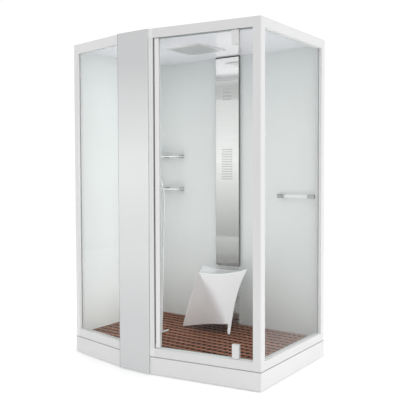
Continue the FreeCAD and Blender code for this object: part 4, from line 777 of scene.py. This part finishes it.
FINISHES = {    # material, the nodes that have it
    "coat": ("post_front_right", "post_rear_right", "column_post", "column_cross_rails",
             "bottom_rail_door", "bottom_rail_right", "top_rail_right",
             "bottom_rail_left_front", "pivot_patches"),
    "underside_shaded_coat": ("top_rail_door",),
    "lit_coat": ("post_front_left", "top_rail_left_front", "door_jamb", "door_stile"),
    "apron": ("apron_door", "apron_left_front", "apron_right"),
    "cover": ("column_cover",),
    "acrylic_white": ("shower_tray", "column_liner"),
    "ceiling": ("roof_panel",),
    "left_wall": ("left_panel",),
    "rear_wall": ("back_panel_left",),
    "right_wall": ("back_panel_right",),
    "pane": ("glass_right", "glass_left_front"),
    "door_pane": ("door_glass",),
    "gasket": ("frame_seals",),
    "seal": ("door_seals",),
    "wood": ("deck_grating", "deck_runners"),
    "zinc": ("tray_frame", "post_rear_left"),
    "foot": ("levelling_feet",),
    "grey": ("waste_body", "control_box"),
    "chrome": ("waste_grate", "steam_nozzle", "mixer_body", "flow_knob", "temperature_knob",
               "handset_holder", "hose_elbow"),
    "shaded_chrome": ("shelf_clips",),
    "block_chrome": ("towel_bar_blocks",),
    "panel": ("shower_panel_upper",),
    "satin": ("shower_panel_lower",),
    "head_steel": ("rain_head",),
    "steel": ("steam_tank", "heating_element", "rain_feed_pipe"),
    "brass": ("steam_pipe",),
    "bush": ("pivot_bushes",),
    "jets": ("jet_block",),
    "keys": ("touch_keys",),
    "shelf": ("shelf_panes",),
    "pale": ("towel_bar",),
}


def made_materials():
    made = {}
    for make, rows in ((powder_coat, COATS), (metal, METALS), (plastic, PLASTICS),
                       (wall_gloss, WALLS), (clear_glass, PANES)):
        for key, row in rows.items():
            made[key] = make(*row)
    made["apron"] = apron_gloss()
    made["acrylic_white"] = acrylic("acrylic_white", (0.84, 0.84, 0.835), (0.83, 0.83, 0.82))
    made["ceiling"] = ceiling_gloss()
    made["panel"] = panel_steel()
    made["cover"] = cover_paint()
    made["wood"] = timber()
    made["gasket"] = gasket_rubber()
    made["seal"] = door_seal()
    made["foot"] = foot_rubber()
    made["shelf"] = frosted_shelf()
    return made


def dress(materials):
    for key, names in FINISHES.items():
        for name in names:
            for slot in nodes[name].material_slots:
                slot.material = materials[key]


# ================================================================ stage
SOFTBOXES = (   # name, place, target, size, watts
    ("side_softbox", (3.2, 0.3, 1.3), (0.5, 0, 1.3), (1.6, 1.2), 10),
    ("front_softbox", (-2.6, -3.2, 1.2), (-0.02, 0.44, 1.36), (1.1, 2.3), 1.9),
    ("top_softbox", (0.6, -0.6, 4.6), (0, 0, 1.0), (3.0, 3.0), 16),
)
LEFT_GLOW = (-0.38, -0.08)       # x and y
RIGHT_GLOW = (0.42, 0.0)
GLOW_RADIUS = 0.2
GLOWS = (                        # height, watts on the left, watts on the right
    (0.38, 1.5, 0.3),
    (0.85, 1.1, 0.25),
    (1.32, 1.1, 0.4),
    (1.82, 1.1, 0.25),
)

FLOOR_HALF = 6.0
FLOOR_GLOW = 0.22

STUDIO_AXIS = (0.5, 0.8, 0.2)    # from the dim side of the studio to the bright side
STUDIO_SPAN = (-0.9, 0.25)
STUDIO_DIM = 0.72
STUDIO_BRIGHT = 1.05

CAMERA_PLACE = (2.565, -3.582, 1.310)
CAMERA_YAW = 36.43               # degrees
CAMERA_PITCH = 2.07
CAMERA_ROLL = -0.23
CAMERA_LENS = 56.67              # millimetres
CAMERA_SHIFT = (0.038, -0.0175)


def area_light(name, place, target, size, power):
    data = bpy.data.lights.new(name, "AREA")
    data.shape = "RECTANGLE"
    data.size, data.size_y = size
    data.energy = power
    lamp = bpy.data.objects.new(name, data)
    lamp.location = place
    lamp.rotation_mode = "QUATERNION"
    lamp.rotation_quaternion = (Vector(target) - Vector(place)).to_track_quat("-Z", "Y")
    lamp.visible_camera = False
    bpy.context.scene.collection.objects.link(lamp)


def glow_light(name, place, power):
    """Soft lamp inside the cabin that neither the camera nor a reflection shows."""
    data = bpy.data.lights.new(name, "POINT")
    data.shadow_soft_size = GLOW_RADIUS
    data.energy = power
    lamp = bpy.data.objects.new(name, data)
    lamp.location = place
    lamp.visible_camera = False
    lamp.visible_glossy = False
    bpy.context.scene.collection.objects.link(lamp)


def make_floor():
    corners = [(x * FLOOR_HALF, y * FLOOR_HALF, 0) for x, y in ((-1, -1), (1, -1), (1, 1), (-1, 1))]
    mesh = bpy.data.meshes.new("studio_floor")
    mesh.from_pydata(corners, [], [(0, 1, 2, 3)])
    recipe = Recipe("floor_paint", (0.92, 0.92, 0.92), 0.7)
    recipe.wear(recipe.noise(even(4)), 0.6, 0.8)
    recipe.shader.inputs["Emission Color"].default_value = (1, 1, 1, 1)
    recipe.shader.inputs["Emission Strength"].default_value = FLOOR_GLOW
    mesh.materials.append(recipe.material)
    floor = bpy.data.objects.new("studio_floor", mesh)
    bpy.context.scene.collection.objects.link(floor)


def make_world():
    """White studio, a little dimmer in front of the cabin than beside and behind it."""
    world = bpy.data.worlds.new("studio")
    world.use_nodes = True
    tree = world.node_tree
    shade = tree.nodes["Background"]
    shade.inputs["Color"].default_value = (1, 1, 1, 1)
    place = tree.nodes.new("ShaderNodeTexCoord").outputs["Generated"]
    lean = tree.nodes.new("ShaderNodeVectorMath")
    lean.operation = "DOT_PRODUCT"
    lean.inputs[1].default_value = STUDIO_AXIS
    tree.links.new(place, lean.inputs[0])
    spread = tree.nodes.new("ShaderNodeMapRange")
    spread.inputs["From Min"].default_value, spread.inputs["From Max"].default_value = STUDIO_SPAN
    spread.inputs["To Min"].default_value = STUDIO_DIM
    spread.inputs["To Max"].default_value = STUDIO_BRIGHT
    tree.links.new(lean.outputs["Value"], spread.inputs["Value"])
    tree.links.new(spread.outputs["Result"], shade.inputs["Strength"])
    bpy.context.scene.world = world


def make_camera():
    yaw, pitch, roll = (math.radians(a) for a in (CAMERA_YAW, CAMERA_PITCH, CAMERA_ROLL))
    ahead = Vector((-math.sin(yaw) * math.cos(pitch), math.cos(yaw) * math.cos(pitch), -math.sin(pitch)))
    aside = Vector((math.cos(yaw), math.sin(yaw), 0))
    above = aside.cross(ahead)
    level = aside * math.cos(roll) + above * math.sin(roll)
    upright = above * math.cos(roll) - aside * math.sin(roll)
    turn = Matrix((level, upright, -ahead)).transposed()
    data = bpy.data.cameras.new("photo_camera")
    data.lens = CAMERA_LENS
    data.shift_x, data.shift_y = CAMERA_SHIFT
    camera = bpy.data.objects.new("photo_camera", data)
    camera.matrix_world = Matrix.Translation(CAMERA_PLACE) @ turn.to_4x4()
    bpy.context.scene.collection.objects.link(camera)
    bpy.context.scene.camera = camera


materials = made_materials()
dress(materials)
for name in SOFT_EDGED:
    softened(nodes[name], EDGE_WIDTH)
ribbed_hose(materials["spring"])
turned_handset(materials)
rain_nozzle_tips(materials["dark"])
smooth_stool(stool_gloss())
make_floor()
make_world()
for softbox in SOFTBOXES:
    area_light(*softbox)
for height, left_power, right_power in GLOWS:
    glow_light("left_glow", (*LEFT_GLOW, height), left_power)
    glow_light("right_glow", (*RIGHT_GLOW, height), right_power)
make_camera()
bpy.context.scene.view_settings.view_transform = "Standard"
